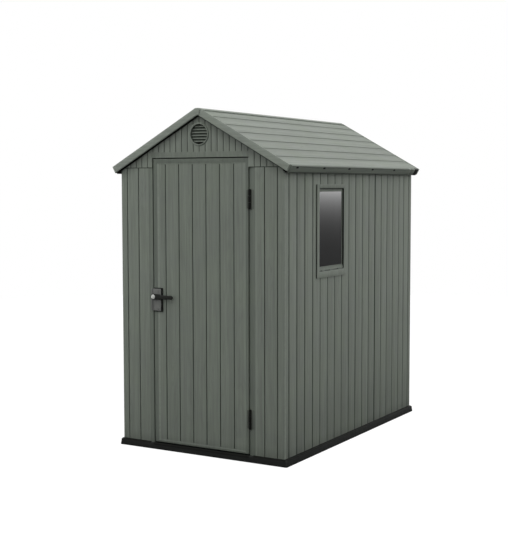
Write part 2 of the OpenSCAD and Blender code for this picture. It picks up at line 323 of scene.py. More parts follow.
def plain_marks(ob, tone=0.5, lip=2.5):
    """Marks for a piece that isn't planked: its narrow slanting faces carry the painted highlight."""
    me = ob.data
    edge = np.zeros(len(me.polygons), np.float32)
    for i, f in enumerate(me.polygons):
        if len(f.vertices) == 4:
            co = [me.vertices[v].co for v in f.vertices]
            w = min((co[1] - co[0]).length, (co[2] - co[1]).length) * 1000.0
            n = f.normal
            if w < lip and max(abs(n.x), abs(n.y), abs(n.z)) < 0.97:
                edge[i] = 1.0
    put(me, "tone", "FACE", np.full(len(me.polygons), tone))
    put(me, "edge", "FACE", edge)
    put(me, "painted_shade", "POINT", np.zeros(len(me.vertices)))


# --------------------------------------------------------------- outlines

HALF = 4.6                           # half width of a plank groove
LIP = 1.7                            # radius of its lips
DEPTH = 6.5


def groove(u, half=HALF, depth=DEPTH, lip=LIP):
    """The outline of one groove: (u, depth) points from left to right."""
    left = []
    for k in range(4):
        a = math.pi / 2 * k / 3
        left.append((-half + lip * math.sin(a), lip * (1 - math.cos(a))))
    left += [(-half + lip + 0.35, depth - 1.0), (-half + lip + 1.1, depth)]
    return [(u + x, d) for x, d in left] + [(u - x, d) for x, d in reversed(left)]


def half_groove(u, side, half=HALF, depth=9.0, lip=LIP):
    """The panel's edge at a joint; side is +1 where the panel lies at
    larger u. Points run from the joint's depth out to the face."""
    pts = [(0.15, depth), (half - lip - 0.9, depth), (half - lip - 0.35, depth - 0.8)]
    for k in range(4):
        a = math.pi / 2 * (1 - k / 3)
        pts.append((half - lip * math.sin(a), lip * (1 - math.cos(a))))
    out = [(u + side * x, d) for x, d in pts]
    return out if side > 0 else list(reversed(out))


def inner_face(u0, u1, thick, pitch=95.0):
    """The inner skin from u1 back to u0, with shallow ribs."""
    pts = [(u1, thick)]
    n = max(int((u1 - u0 - 30) // pitch), 0)
    if n:
        start = (u0 + u1) / 2 + (n - 1) / 2 * pitch
        for k in range(n):
            g = start - k * pitch
            pts += [(g + 5, thick), (g + 2.5, thick - 2.0), (g - 2.5, thick - 2.0), (g - 5, thick)]
    pts.append((u0, thick))
    return pts


# ------------------------------------------------------------------ walls

pieces = []                          # (object, body, slot, nodes it stands for)


def add(ob, body, slot, *nodes):
    pieces.append((ob, body, slot, nodes))
    return ob


def arc(cu, cv, r, a0, a1, n=8):
    return [(cu + r * math.cos(math.radians(a0 + (a1 - a0) * k / n)),
             cv + r * math.sin(math.radians(a0 + (a1 - a0) * k / n))) for k in range(n + 1)]


def front_panel(right):
    """One front wall panel; plan outline in (x, y), mirrored for the left."""
    r = 10.0
    if right:
        jamb, rev, rin = LEAF_HI[0] + 2.5, 47.5, 14.0
    else:
        jamb, rev, rin = -JAMB_L, 26.5, 6.0
    pts = [(jamb, FY + WT), (jamb, FY + rin + 0.6), (jamb + 0.6, FY + rin)]
    pts += [(jamb + rev - 1.5, FY + 0.5), (jamb + rev - 0.5, FY + 0.15), (jamb + rev + 1.2, FY), (jamb + rev + 7.0, FY)]
    for g in FRONT_GROOVES:
        pts += [(u, FY + d) for u, d in groove(g)]
    pts += arc(WW - r, FY + r, r, -90, 0)
    pts += [(WW, FY + WT - HALF)]
    # the corner ends in the first joint with the side wall
    pts += [(WW, FY + WT)]
    if not right:
        pts = [(-x, y) for x, y in reversed(pts)]
    z0, z1 = BASE_H, GZ
    small = inset(pts, 0.5)
    rings = [[(x, y, z0) for x, y in pts], [(x, y, z1 - 0.6) for x, y in pts], [(x, y, z1 - 0.1) for x, y in small]]
    ob = to_object(loft(rings), "front_wall_right" if right else "front_wall_left")
    sx = 1 if right else -1
    mark(ob, [(1, FY, 1), (0, sx * WW, -sx)], sorted(sx * g for g in FRONT_GROOVES + [jamb + rev]))
    # painted shade, even over the slanting reveal; painted highlights on the lip where it ends and on the rounded
    # corner, which is kept free of shade
    me = ob.data
    co = np.array([v.co for v in me.vertices], float) * 1000
    painted_shade = np.zeros(len(co), np.float32)
    me.attributes["painted_shade"].data.foreach_get("value", painted_shade)
    x = co[:, 0] * sx
    on = (x > jamb + 0.3) & (x < jamb + rev - 1.0) & (co[:, 1] < FY + rin + 0.3)
    painted_shade[on] = 0.34 if right else 0.22
    painted_shade[(x > WW - r - 0.4) & (co[:, 1] < FY + r + 0.4)] = 0.0
    put(me, "painted_shade", "POINT", painted_shade)
    edge = np.zeros(len(me.polygons), np.float32)
    me.attributes["edge"].data.foreach_get("value", edge)
    for i, f in enumerate(me.polygons):
        if right and jamb + rev - 1.2 < f.center.x * 1000 < jamb + rev + 5 and abs(f.center.y * 1000 - FY) < 1:
            edge[i] = 0.7
        if f.center.x * 1000 * sx > WW - 4.0 and f.center.y * 1000 < FY + 14:
            edge[i] = 1.0
    put(me, "edge", "FACE", edge)
    return ob


add(front_panel(False), "shed", "wall_resin", "front_panel_left")
add(front_panel(True), "shed", "wall_resin", "front_panel_right")


def back_panel(side):
    """side: -1 left, 0 middle, 1 right, seen from the front."""
    if side:
        r = 10.0
        pts = [(-JAMB_L, BY - WT)] + [(-JAMB_L, BY - 9.0)]
        pts += [(u, BY - d) for u, d in half_groove(-JAMB_L, 1)][0:]
        for g in FRONT_GROOVES:
            pts += [(u, BY - d) for u, d in groove(g)]
        pts += arc(WW - r, BY - r, r, 90, 0)
        pts += [(WW, BY - WT)]
        if side < 0:
            pts = [(-x, y) for x, y in pts]
        name = "back_wall_right" if side > 0 else "back_wall_left"
        node = "back_panel_right" if side > 0 else "back_panel_left"
        outer = [(1, BY, -1), (0, side * WW, -side)]
        marks = sorted(side * g for g in FRONT_GROOVES)
    else:
        pts = [(u, BY - d) for u, d in half_groove(JAMB_L, 1)]
        for g in BACK_GROOVES:
            pts += [(u, BY - d) for u, d in groove(g)]
        pts += [(u, BY - d) for u, d in half_groove(-JAMB_L, -1)]
        pts += [(u, BY - d) for u, d in inner_face(JAMB_L, -JAMB_L, WT)]
        name, node, outer, marks = "back_wall_middle", "back_panel_middle", [(1, BY, -1)], BACK_GROOVES
    small = inset(pts, 0.5)
    rings = [[(x, y, BASE_H) for x, y in pts], [(x, y, GZ - 0.6) for x, y in pts], [(x, y, GZ - 0.1) for x, y in small]]
    ob = to_object(loft(rings), name)
    mark(ob, outer, marks)
    return ob, node


for side in (-1, 0, 1):
    ob, node = back_panel(side)
    add(ob, "shed", "wall_resin", node)


JOINT_HALF = {JOINT_1: 6.0, JOINT_2: 8.0}


def paint_joint_shade(ob, sign):
    """Painted shade fills the joints between the side panels."""
    me = ob.data
    co = np.array([v.co for v in me.vertices], float) * 1000
    painted_shade = np.zeros(len(co), np.float32)
    me.attributes["painted_shade"].data.foreach_get("value", painted_shade)
    deep = WW - sign * co[:, 0]
    for y, w in JOINT_HALF.items():
        near = (np.abs(co[:, 1] - y) < w + 0.5) & (deep > (0.7 if y == JOINT_2 else 1.4))
        painted_shade[near] = 1.0 if y == JOINT_2 else np.maximum(painted_shade[near], 0.9)
    put(me, "painted_shade", "POINT", painted_shade)


def side_wall(name, node, sign, y0, y1, ends):
    """A side wall panel between y0 and y1. ends says which ends are joints."""
    pts = half_groove(y0, 1, JOINT_HALF[y0], 14.0) if ends[0] else [(y0, 0.0)]
    inside = [g for g in SIDE_GROOVES if y0 + 10 < g < y1 - 10]
    for g in inside:
        pts += groove(g, 6.6 if g < -520 else 5.4, 8.5)
    pts += half_groove(y1, -1, JOINT_HALF[y1], 14.0) if ends[1] else [(y1, 0.0)]
    pts += inner_face(y0, y1, WT)
    low = [(sign * (WW - d), y, BASE_H) for y, d in pts]
    top = [(sign * (WW - d), y, slope_z(WW - d, UNDER + 0.1)) for y, d in pts]
    ob = to_object(loft([low, top]), name)
    mark(ob, [(0, sign * WW, -sign)], inside, along=1, deep=2.4)
    paint_joint_shade(ob, sign)
    return ob


for sign, word in ((-1, "left"), (1, "right")):
    y_a, y_b = FY + WT, BY - WT
    spans = (("front", y_a, JOINT_1, (False, True)), ("middle", JOINT_1, JOINT_2, (True, True)),
             ("rear", JOINT_2, y_b, (True, False)))
    for part, a, b, ends in spans:
        ob = side_wall(f"side_{word}_{part}", None, sign, a, b, ends)
        if word == "right" and part == "front":
            hole = to_object(block(WW - WT - 8, WW + 8, WIN_LO[1] + 15, WIN_HI[1] - 15,
                                   WIN_LO[2] + 14, WIN_HI[2] - 12, 0.2, "x", 4.0), "tool")
            cut(ob, hole)
            mark(ob, [(0, WW, -1)], [g for g in SIDE_GROOVES if a + 10 < g < b - 10], along=1, deep=2.4)
            paint_joint_shade(ob, 1)
        add(ob, "shed", "wall_resin", f"{word}_wall_{part}")


def gable(front):
    """The gable's wall with its planks, the slanting header over the
    door and the vent's hole."""
    y0 = FY if front else BY
    d = 1 if front else -1           # into the wall
    seat = UNDER + 0.1
    if front:
        poly = [(-WW, GZ), (-WW, slope_z(WW, seat)), (0, slope_z(0, seat)), (WW, slope_z(WW, seat)), (WW, GZ),
                (LEAF_HI[0] + 2.5, GZ), (LEAF_HI[0] + 2.5, HEAD_Z), (JAMB_L, HEAD_Z), (JAMB_L, GZ)]
    else:
        poly = [(-WW, GZ), (-WW, slope_z(WW, seat)), (0, slope_z(0, seat)), (WW, slope_z(WW, seat)), (WW, GZ)]
    bm = prism(poly, "y", min(y0, y0 + d * WT), max(y0, y0 + d * WT))
    ob = to_object(bm, "gable_front" if front else "gable_back")
    tools = []
    # plank grooves
    bm = bmesh.new()
    for k in range(-13, 14):
        g = k * GABLE_PITCH
        low = 1798.0 if (front and abs(k) <= 8) else GZ - 5
        top = slope_z(abs(g), 2.0)
        if top - low < 8:
            continue
        q = [(g + (u - 0), y0 + d * dd) for u, dd in groove(0.0, 3.6, 5.5, 1.5)]
        q = [(q[0][0] - 1.2, y0 - d * 1.2)] + q + [(q[-1][0] + 1.2, y0 - d * 1.2)]
        loft([[(x, y, low) for x, y in q], [(x, y, top) for x, y in q]], bm)
    tools.append(to_object(bm, "tool_planks"))
    # vent hole
    tools.append(to_object(turned([(60.4, y0 - 30), (60.4, y0 + 30)], "y", 0, VENT_MID, 64), "tool_vent"))
    if front:
        # slanting header
        bm = loft([[(x, FY - 3.0, HEAD_Z - 8), (x, FY + 3.2, HEAD_Z - 8), (x, FY + 3.2, HEAD_Z), (x, FY + 0.4, 1796.5), (x, FY, 1799.0),
                    (x, FY - 3.0, 1799.0)] for x in (JAMB_L + 0.0, JAMB_R - 0.0)])
        tools.append(to_object(bm, "tool_head"))
    # small chamfer along the joint
    bm = bmesh.new()
    for s in ((-1, 1) if front else (0,)):
        a, b = ((JAMB_R - 1, WW + 1) if s > 0 else (-WW - 1, JAMB_L + 1)) if s else (-WW - 1, WW + 1)
        loft([[(x, y0 + d * o, GZ + h) for o, h in ((-1.0, -1.0), (-1.0, 5.0), (0.0, 4.6), (0.7, 3.9), (7.0, 3.4), (7.0, -1.0))] for x in (a, b)], bm)
    tools.append(to_object(bm, "tool_joint"))
    cut(ob, *tools)
    mark(ob, [(1, y0, d)], [k * GABLE_PITCH for k in range(-13, 14)])
    if front:
        # a faint, even painted shade on the slanting header
        me = ob.data
        painted_shade = np.zeros(len(me.vertices), np.float32)
        me.attributes["painted_shade"].data.foreach_get("value", painted_shade)
        co = np.array([v.co for v in me.vertices], float) * 1000
        painted_shade[(co[:, 2] < 1797.6) & (co[:, 2] > GZ + 6) & (co[:, 1] < FY + 4)] = 0.06
        put(me, "painted_shade", "POINT", painted_shade)
    return ob


def rake_shade_strip(front):
    """A black strip wedged under the rakes, against the wall: painted shade under the rakes."""
    y0, d = (FY, 1) if front else (BY, -1)
    sec = [(42.1, -13.6), (42.1, -0.1), (48.4, -0.1), (48.0, -1.4), (46.6, -5.0), (44.8, -9.6), (43.0, -13.0)]
    bm = bmesh.new()
    for sign in (-1, 1):
        rings = []
        for at in range(5):
            ring = []
            for deep, o in sec:
                if at:
                    x, z = sl(120.0 + (SLOPE_L - 134.0) * (at - 1) / 3, deep - (0.9 if at in (2,) else 0.0))
                else:
                    x, z = 0.12, slope_z(0.12, deep)
                ring.append((sign * x, y0 + d * o, z))
            rings.append(ring)
        loft(rings, bm)
        # it bulges out past the corner of the walls
        rings = []
        for a, small in ((-39.0, 1.5), (-37.0, 0.0), (-20.0, 0.0), (-15.0, 3.0)):
            ring = []
            for deep, o in ((42.6, -12.0), (42.6, -1.0), (54.0 - small, -1.0), (54.0 - small, -5.0), (51.5 - small, -10.0), (48.0 - small, -12.0)):
                x, z = sl(SLOPE_L + a, deep)
                ring.append((sign * x, y0 + d * o, z))
            rings.append(ring)
        loft(rings, bm)
    ob = to_object(bm, "rake_shade_strip_front" if front else "rake_shade_strip_back", 40)
    plain_marks(ob, 0.5, 0.1)
    return ob


VENT_MID = (VENT_LO[2] + VENT_HI[2]) / 2
add(rake_shade_strip(True), "shed", "black_plastic")
add(rake_shade_strip(False), "shed", "black_plastic")
add(gable(True), "shed", "wall_resin", "front_gable")
add(gable(False), "shed", "wall_resin", "back_gable")


def vent(front):
    """A round louvred vent: a turned ring with a rolled lip, and slats."""
    y0 = FY if front else BY
    d = 1 if front else -1
    R = 65.0
    prof = [(R + 4.6, 0.0), (R + 4.6, -0.5), (R + 0.5, -0.5), (R, -1.0), (R, -2.6)]
    prof += [(R - 2.4 + 2.4 * math.cos(math.radians(a)), -2.6 - 2.4 * math.sin(math.radians(a))) for a in (20, 40, 60, 80)]
    prof += [(R - 4.4, -4.9), (R - 5.8, -4.2), (R - 6.6, -3.0), (R - 7.0, -1.0), (R - 7.0, 2.0), (R - 7.0, WT + 0.8), (R - 5.0, WT + 0.8), (R - 5.0, 0.0)]
    bm = turned([(r, y0 + d * w) for r, w in prof], "y", 0, VENT_MID, 72, closed=True)
    # slats, each a bent blade cut to the ring
    for k in range(6):
        zc = VENT_MID - 35.7 + 17.3 * k
        blade = [(-6.8, -8.9), (-5.2, -9.6), (9.0, 5.8), (9.0, 8.4), (-5.2, -3.5), (-6.8, -4.1)]
        n = 12
        rings = []
        for j in range(n + 1):
            t = -1 + 2 * j / n
            ring = []
            for yy, zz in blade:
                z = min(zc + zz, VENT_MID + 54.0 + 0.1 * zz)
                half = math.sqrt(max((R - 7.4) ** 2 - (z - VENT_MID) ** 2, 0.0))
                ring.append((t * half, y0 + d * (14.0 + yy), z))
            rings.append(ring)
        loft(rings, bm)
    ob = to_object(bm, "vent_front" if front else "vent_back", 40)
    plain_marks(ob, 0.5)
    # painted shade inside the ring and on the slats' inner halves
    me = ob.data
    co = np.array([v.co for v in me.vertices], float) * 1000
    inn = (co[:, 1] - y0) * d
    rad = np.hypot(co[:, 0], co[:, 2] - VENT_MID)
    painted_shade = np.where((inn > -1.5) & (rad < R - 6.5) & (rad > R - 7.2), 1.0, 0.0)
    painted_shade = np.maximum(painted_shade, np.where((rad < R - 7.3) & (inn > 12), 1.0, np.where((rad < R - 7.3) & (inn > 8.0), 0.4, 0.0)))
    # and a painted shadow in the corner round it, darkest on the lower right
    turn = (co[:, 0] - 0.5 * (co[:, 2] - VENT_MID)) / np.maximum(rad, 1.0) / 1.118
    painted_shade = np.maximum(painted_shade, np.where(rad > R - 0.3, np.clip(0.25 + 0.6 * turn, 0.0, 0.8), 0.0))
    put(me, "painted_shade", "POINT", painted_shade)
    put(me, "edge", "FACE", np.zeros(len(me.polygons)))
    return ob


add(vent(True), "shed", "wall_resin", "front_vent")
add(vent(False), "shed", "wall_resin", "back_vent")

# ----------------------------------------------------------------- window


def rect_rings(levels, n=4):
    """Rings of rounded rectangles in planes of x: (x, y0, y1, z0, z1, r)."""
    out = []
    for x, y0, y1, z0, z1, r in levels:
        out.append([(x, p[0], p[1]) for p in rounded(y0, y1, z0, z1, r, n)])
    return out


wy0, wy1, wz0, wz1 = WIN_LO[1], WIN_HI[1], WIN_LO[2], WIN_HI[2]
fx = WIN_HI[0]
rec = (wy0 + 29, wy1 - 29, wz0 + 38, wz1 - 24)
gls = (wy0 + 44, wy1 - 44, wz0 + 67, wz1 - 44)


def win_frame():
    back = WW - WT - 2
    lv = [
        (back, wy0 + 15.4, wy1 - 15.4, wz0 + 14.4, wz1 - 12.4, 4),
        (WW + 0.1, wy0 + 15.4, wy1 - 15.4, wz0 + 14.4, wz1 - 12.4, 4),
        (WW + 5.0, wy0 + 12.0, wy1 - 12.0, wz0 + 12.0, wz1 - 12.0, 5),
        (WW + 5.0, wy0 + 0.4, wy1 - 0.4, wz0 + 0.4, wz1 - 0.4, 6),
        (WW + 5.4, wy0, wy1, wz0, wz1, 6),
        (fx - 1.2, wy0, wy1, wz0, wz1, 6),
        (fx - 0.4, wy0 + 0.5, wy1 - 0.5, wz0 + 0.5, wz1 - 0.5, 5.5),
        (fx, wy0 + 1.6, wy1 - 1.6, wz0 + 1.6, wz1 - 1.6, 4),
        (fx, rec[0] - 1.4, rec[1] + 1.4, rec[2] - 2.4, rec[3] + 1.4, 4),
        (fx - 0.5, rec[0] - 0.4, rec[1] + 0.4, rec[2] - 0.7, rec[3] + 0.4, 3),
        (fx - 1.6, rec[0], rec[1], rec[2], rec[3], 3),
        # a narrow channel, then the bead that holds the pane
        (fx - 12.8, rec[0] + 0.3, rec[1] - 0.3, rec[2] + 0.3, rec[3] - 0.3, 3),
        (fx - 13.4, rec[0] + 0.9, rec[1] - 0.9, rec[2] + 0.9, rec[3] - 0.9, 3),
        (fx - 13.4, gls[0] - 9.6, gls[1] + 9.6, gls[2] - 9.6, gls[3] + 15.1, 3),
        (fx - 12.8, gls[0] - 9.0, gls[1] + 9.0, gls[2] - 9.0, gls[3] + 14.5, 3),
        (fx - 9.8, gls[0] - 9.0, gls[1] + 9.0, gls[2] - 9.0, gls[3] + 14.5, 3),
        (fx - 9.1, gls[0] - 8.5, gls[1] + 8.5, gls[2] - 8.5, gls[3] + 14.0, 3),
        (fx - 8.8, gls[0] - 7.6, gls[1] + 7.6, gls[2] - 7.6, gls[3] + 13.1, 3),
        (fx - 8.8, gls[0] - 1.8, gls[1] + 1.8, gls[2] - 1.8, gls[3] + 1.8, 2.5),
        (fx - 9.1, gls[0] - 0.5, gls[1] + 0.5, gls[2] - 0.5, gls[3] + 0.5, 2),
        (fx - 9.7, gls[0], gls[1], gls[2], gls[3], 2),
        (fx - 10.0, gls[0], gls[1], gls[2], gls[3], 2),
        (fx - 10.0, gls[0] - 6.2, gls[1] + 6.2, gls[2] - 6.2, gls[3] + 6.2, 1),
        (fx - 14.6, gls[0] - 6.2, gls[1] + 6.2, gls[2] - 6.2, gls[3] + 6.2, 1),
        (fx - 14.6, gls[0], gls[1], gls[2], gls[3], 2),
        (back, gls[0], gls[1], gls[2], gls[3], 2),
    ]
    ob = to_object(loft(rect_rings(lv), loop=True), "window_surround", 28)
    plain_marks(ob, 0.2, 3.2)
    me = ob.data
    co = np.array([v.co for v in me.vertices], float) * 1000
    # painted shade on the bead along its top and rear side, on the low part of the bead and at the top of the recess; a
    # painted highlight on the front's slanting faces
    bead = (co[:, 0] < fx - 5.0) & (co[:, 0] > fx - 11.0) & ((co[:, 2] > gls[3] - 6) | (co[:, 1] > gls[1] - 6))
    low = (co[:, 0] < fx - 5.0) & (co[:, 0] > fx - 11.0) & (co[:, 2] < gls[2] + 1.0)
    painted_shade = np.maximum(bead * 0.45, low * 0.36)
    painted_shade[(co[:, 2] > rec[3] - 1.0) & (co[:, 0] > fx - 3.0)] = 0.2
    put(me, "painted_shade", "POINT", painted_shade)
    edge = np.array([1.0 if f.center.x * 1000 > fx - 2.0 and max(abs(n) for n in f.normal) < 0.97 else 0.0 for f in me.polygons])
    put(me, "edge", "FACE", edge)
    return ob


def win_sill():
    """The sloping sill under the pane, with four drain slots."""
    sec = [(fx - 1.9, rec[2] - 0.9), (fx - 1.9, rec[2] + 0.4), (fx - 2.4, rec[2] + 1.4), (fx - 8.2, gls[2] - 10.4), (fx - 8.5, gls[2] - 8.0),
           (fx - 8.6, gls[2] - 4.0), (fx - 10.0, gls[2] - 4.0), (fx - 13.5, gls[2] - 8.0), (fx - 13.5, rec[2] - 0.9)]
    ob = to_object(loft([[(x, y, z) for x, z in sec] for y in (rec[0] + 0.2, rec[1] - 0.2)]), "window_sill", 28)
    bm = bmesh.new()
    for a, b in ((-490.0, -462.0), (-422.0, -360.0), (-311.0, -246.0), (-196.0, -184.0)):
        loft([[(fx + 2, y, wz0 + 39.4), (fx + 2, y, wz0 + 45.4), (fx - 8.0, y, wz0 + 45.4), (fx - 8.0, y, wz0 + 39.4)] for y in (a, b)], bm)
    cut(ob, to_object(bm, "tool_drains"))
    shade(ob, 28)
    plain_marks(ob, 0.3, 0.1)
    me = ob.data
    co = np.array([v.co for v in me.vertices], float) * 1000
    # painted shade in the drain slots and on the sill's inner part, a little on its front
    drain = (np.abs(co[:, 2] - wz0 - 41.9) < 3.0) & (co[:, 0] < fx - 2.2)
    put(me, "painted_shade", "POINT", np.where(drain, 0.9, np.where(co[:, 0] < fx - 2.0, 0.36, 0.1)))
    return ob


add(win_frame(), "shed", "wall_resin", "window_frame")
add(win_sill(), "shed", "wall_resin")

# rubber under the frame's flange, and a black liner on the recess's walls: painted shade in the recess
bm = loft(rect_rings([
    (WW - 0.6, wy0 + 0.8, wy1 - 0.8, wz0 + 0.8, wz1 - 0.8, 5.2),
    (WW + 4.4, wy0 + 0.1, wy1 - 0.1, wz0 + 0.1, wz1 - 0.1, 6),
    (WW + 4.9, wy0 + 0.7, wy1 - 0.7, wz0 + 0.7, wz1 - 0.7, 5.4),
    (WW + 4.9, wy0 + 11.0, wy1 - 11.0, wz0 + 11.0, wz1 - 11.0, 5),
    (WW - 0.6, wy0 + 13.5, wy1 - 13.5, wz0 + 13.5, wz1 - 11.6, 5)]), loop=True)
rubber = to_object(bm, "window_seal")
plain_marks(rubber)
add(rubber, "shed", "black_plastic")


def line(x, side, top, foot):
    return (x, rec[0] + side, rec[1] - side, rec[2] + foot, rec[3] - top, 3)


bm = loft(rect_rings([line(fx - 1.9, -0.1, -0.1, -0.1), line(fx - 1.9, 0.9, 0.9, 0.9), line(fx - 12.0, 1.3, 1.3, 1.3), line(fx - 12.3, 1.8, 1.8, 1.8),
                      line(fx - 12.3, 5.8, 5.3, 5.8), line(fx - 13.35, 5.8, 5.3, 5.8), line(fx - 13.35, 0.6, 0.6, 0.6)]), loop=True)
shade_liner = to_object(bm, "window_shade_liner")
plain_marks(shade_liner)
add(shade_liner, "shed", "black_plastic")

# the pane: a sheet with softened edges
px1, px0 = fx - 10.1, fx - 14.3
e = 6.0
bm = loft(rect_rings([
    (px0, gls[0] - e + 0.6, gls[1] + e - 0.6, gls[2] - e + 0.6, gls[3] + e - 0.6, 1),
    (px0 + 0.4, gls[0] - e, gls[1] + e, gls[2] - e, gls[3] + e, 1),
    (px1 - 0.4, gls[0] - e, gls[1] + e, gls[2] - e, gls[3] + e, 1),
    (px1, gls[0] - e + 0.6, gls[1] + e - 0.6, gls[2] - e + 0.6, gls[3] + e - 0.6, 1)]))
pane = to_object(bm, "window_glazing", 12)
plain_marks(pane)
add(pane, "shed", "window_acrylic", "window_pane")

# ------------------------------------------------------------------- door


def door():
    x0, x1 = LEAF_LO[0] - 2.4, LEAF_HI[0] - 2.0
    y0, y1 = LEAF_LO[1], LEAF_HI[1]
    z0, z1 = LEAF_LO[2] - 2.6, LEAF_HI[2]
    ob = to_object(block(x0, x1, y0, y1, z0, z1, 1.6, "y", 2.0, 3), "door_planked")
    tools = []
    # recessed field with long sloping sides
    fd = 2.8
    lv = []
    for y, a, b, lo, hi in ((y0 - 2.0, 25.5, 15.5, 9.0, 24.6), (y0, 26.5, 16.5, 10.0, 26.0), (y0 + 0.25, 28.1, 18.1, 11.2, 27.2),
                            (y0 + fd - 0.3, 40.5, 29.5, 16.0, 32.8), (y0 + fd, 43.0, 32.5, 17.4, 34.6)):
        lv.append([(p[0], y, p[1]) for p in rounded(x0 + a, x1 - b, z0 + lo, z1 - hi, 3, 3)])
    tools.append(to_object(loft(lv), "tool_field"))
    bm = bmesh.new()
    ga, gb = z0 + 19.0, z1 - 33.0
    for g in DOOR_GROOVES:
        q = [(u, y0 + fd + d) for u, d in groove(g)]
        q = [(q[0][0], y0 - 1.2)] + q + [(q[-1][0], y0 - 1.2)]
        q = [(q[1][0] - 1.4, y0 + fd - 1.3)] + q[1:-1] + [(q[-2][0] + 1.4, y0 + fd - 1.3)]
        loft([[(x, y, ga) for x, y in q], [(x, y, gb) for x, y in q]], bm)
    tools.append(to_object(bm, "tool_planks"))
    # inner side: a framed panel
    bm = bmesh.new()
    zs = [z0 + 60, (z0 + z1) / 2 - 30, (z0 + z1) / 2 + 30, z1 - 60]
    for a, b in ((zs[0], zs[1]), (zs[2], zs[3])):
        lv = []
        for y, i in ((y1 + 1.0, -1.0), (y1, 0.0), (y1 - 4.0, 5.0)):
            lv.append([(p[0], y, p[1]) for p in rounded(x0 + 60 + i, x1 - 60 - i, a + i, b - i, 8, 4)])
        loft(lv, bm)
    tools.append(to_object(bm, "tool_inner"))
    cut(ob, *tools)
    mark(ob, [(1, y0 + fd, 1)], DOOR_GROOVES, thick=y1 - y0)
    me = ob.data
    co = np.array([v.co for v in me.vertices], float) * 1000
    # painted shade that deepens into the field and its grooves, even on the rim and more on the top rim under the
    # header; a painted highlight on the field's left slope
    painted_shade = np.clip((co[:, 1] - y0 - fd - 0.6) / 5.0, 0, 1) ** 0.8
    painted_shade[co[:, 1] > y1 - 8] = 0
    rim = (co[:, 1] < y0 + 2) & ((co[:, 0] < x0 + 27.1) | (co[:, 0] > x1 - 17.1) | (co[:, 2] > z1 - 26.6) | (co[:, 2] < z0 + 10.6))
    painted_shade[rim] = np.where(co[rim, 2] > z1 - 30, 0.44, 0.3)
    put(me, "painted_shade", "POINT", painted_shade)
    edge = np.zeros(len(me.polygons), np.float32)
    me.attributes["edge"].data.foreach_get("value", edge)
    for i, f in enumerate(me.polygons):
        x = f.center.x * 1000
        if x0 + 27.5 < x < x0 + 41.5 and f.center.y * 1000 < y0 + fd and f.normal.x > 0.05:
            edge[i] = 1.0
    put(me, "edge", "FACE", edge)
    return ob


add(door(), "door", "wall_resin", "door_leaf")

# ------------------------------------------------------------------- roof

STEPS = [99.0, 197.0, 291.0, 388.0, 485.5, 581.5]
STEP = 3.4
SEAM = (11.0, 0.171)                 # where the two rakes meet, beside the ridge
LIP_Y = 15.4                         # the rakes' top lip starts here, out from the wall


def roof_panel(sign):
    """Lapped planks: a sawtooth outline down the slope, along the ridge."""
    ends = [34.0] + STEPS + [SLOPE_L - EAVE_T]
    top = []
    for i, (a, b) in enumerate(zip(ends, ends[1:])):
        hi = 1.0 + STEP if i else 3.2
        lo = 1.0
        if i == len(ends) - 2:
            lo = 1.2
        top += [(a + (0.0 if i == 0 else 0.2), hi), ((a + b) / 2, (hi + lo) / 2), (b - 2.2, lo + 0.12), (b - 0.9, lo + 0.45), (b - 0.1, lo + 1.3)]
        if i < len(ends) - 2:
            top.append((b, lo + STEP - 0.5))
    top += [(SLOPE_L - EAVE_T, 1.3)]
    pts = [sl(a, d) for a, d in top]
    under = [sl(SLOPE_L - EAVE_T, UNDER)]
    n = 6
    for k in range(1, n):
        a = (SLOPE_L - EAVE_T) * (1 - k / n)
        under += [sl(a + 6, UNDER), sl(a + 3, UNDER - 2.0), sl(a - 3, UNDER - 2.0), sl(a - 6, UNDER)]
    under += [(0.0, slope_z(0, UNDER)), (0.0, RIDGE_Z - 12.0)]
    poly = pts + under + [sl(18, 8.0), sl(30.6, 8.0), sl(30.6, 3.4)]
    poly = [(sign * x, z) for x, z in poly]
    ya, yb = FY - LIP_Y + 0.1, BY + LIP_Y - 0.1
    ob = to_object(prism(poly, "y", ya, yb), "roof_planks_right" if sign > 0 else "roof_planks_left", 20)
    # past the walls only the planks' skin goes on, over the rakes
    under = [(sign * x, z) for x, z in (sl(-60, 5.5), sl(SLOPE_L + 30, 5.5), sl(SLOPE_L + 30, 120), sl(-60, 120))]
    cut(ob, to_object(prism(under, "y", ya - 5, FY), "tool_front"), to_object(prism(under, "y", BY, yb + 5), "tool_back"))
    shade(ob, 20)
    me = ob.data
    # painted highlight on the planks' lips, painted shade on the lap risers
    tone = np.zeros(len(me.polygons))
    edge = np.zeros(len(me.polygons))
    painted_shade = np.zeros(len(me.vertices))
    for i, f in enumerate(me.polygons):
        c = f.center * 1000
        x, z = abs(c.x), c.z
        along = (x - RIDGE_F) * C + (RIDGE_Z - z) * S
        tone[i] = rnd(bisect(STEPS, along - 0.05), 7 + sign)
        deep = -(x - RIDGE_F) * S + (RIDGE_Z - z) * C
        n = f.normal
        up = abs(n.x) * S + n.z * C
        if deep < 4 and 0.3 < up < 0.985 and f.area > 0:
            edge[i] = 1.0
    for v in me.vertices:
        x, z = abs(v.co.x * 1000), v.co.z * 1000
        along = (x - RIDGE_F) * C + (RIDGE_Z - z) * S
        deep = -(x - RIDGE_F) * S + (RIDGE_Z - z) * C
        near = min(abs(along - s) for s in STEPS)
        if near < 0.6 and 2.8 < deep < 8:
            painted_shade[v.index] = 0.3
    put(me, "tone", "FACE", tone)
    put(me, "edge", "FACE", edge)
    put(me, "painted_shade", "POINT", painted_shade)
    return ob


add(roof_panel(1), "shed", "roof_resin", "roof_right")
add(roof_panel(-1), "shed", "roof_resin", "roof_left")


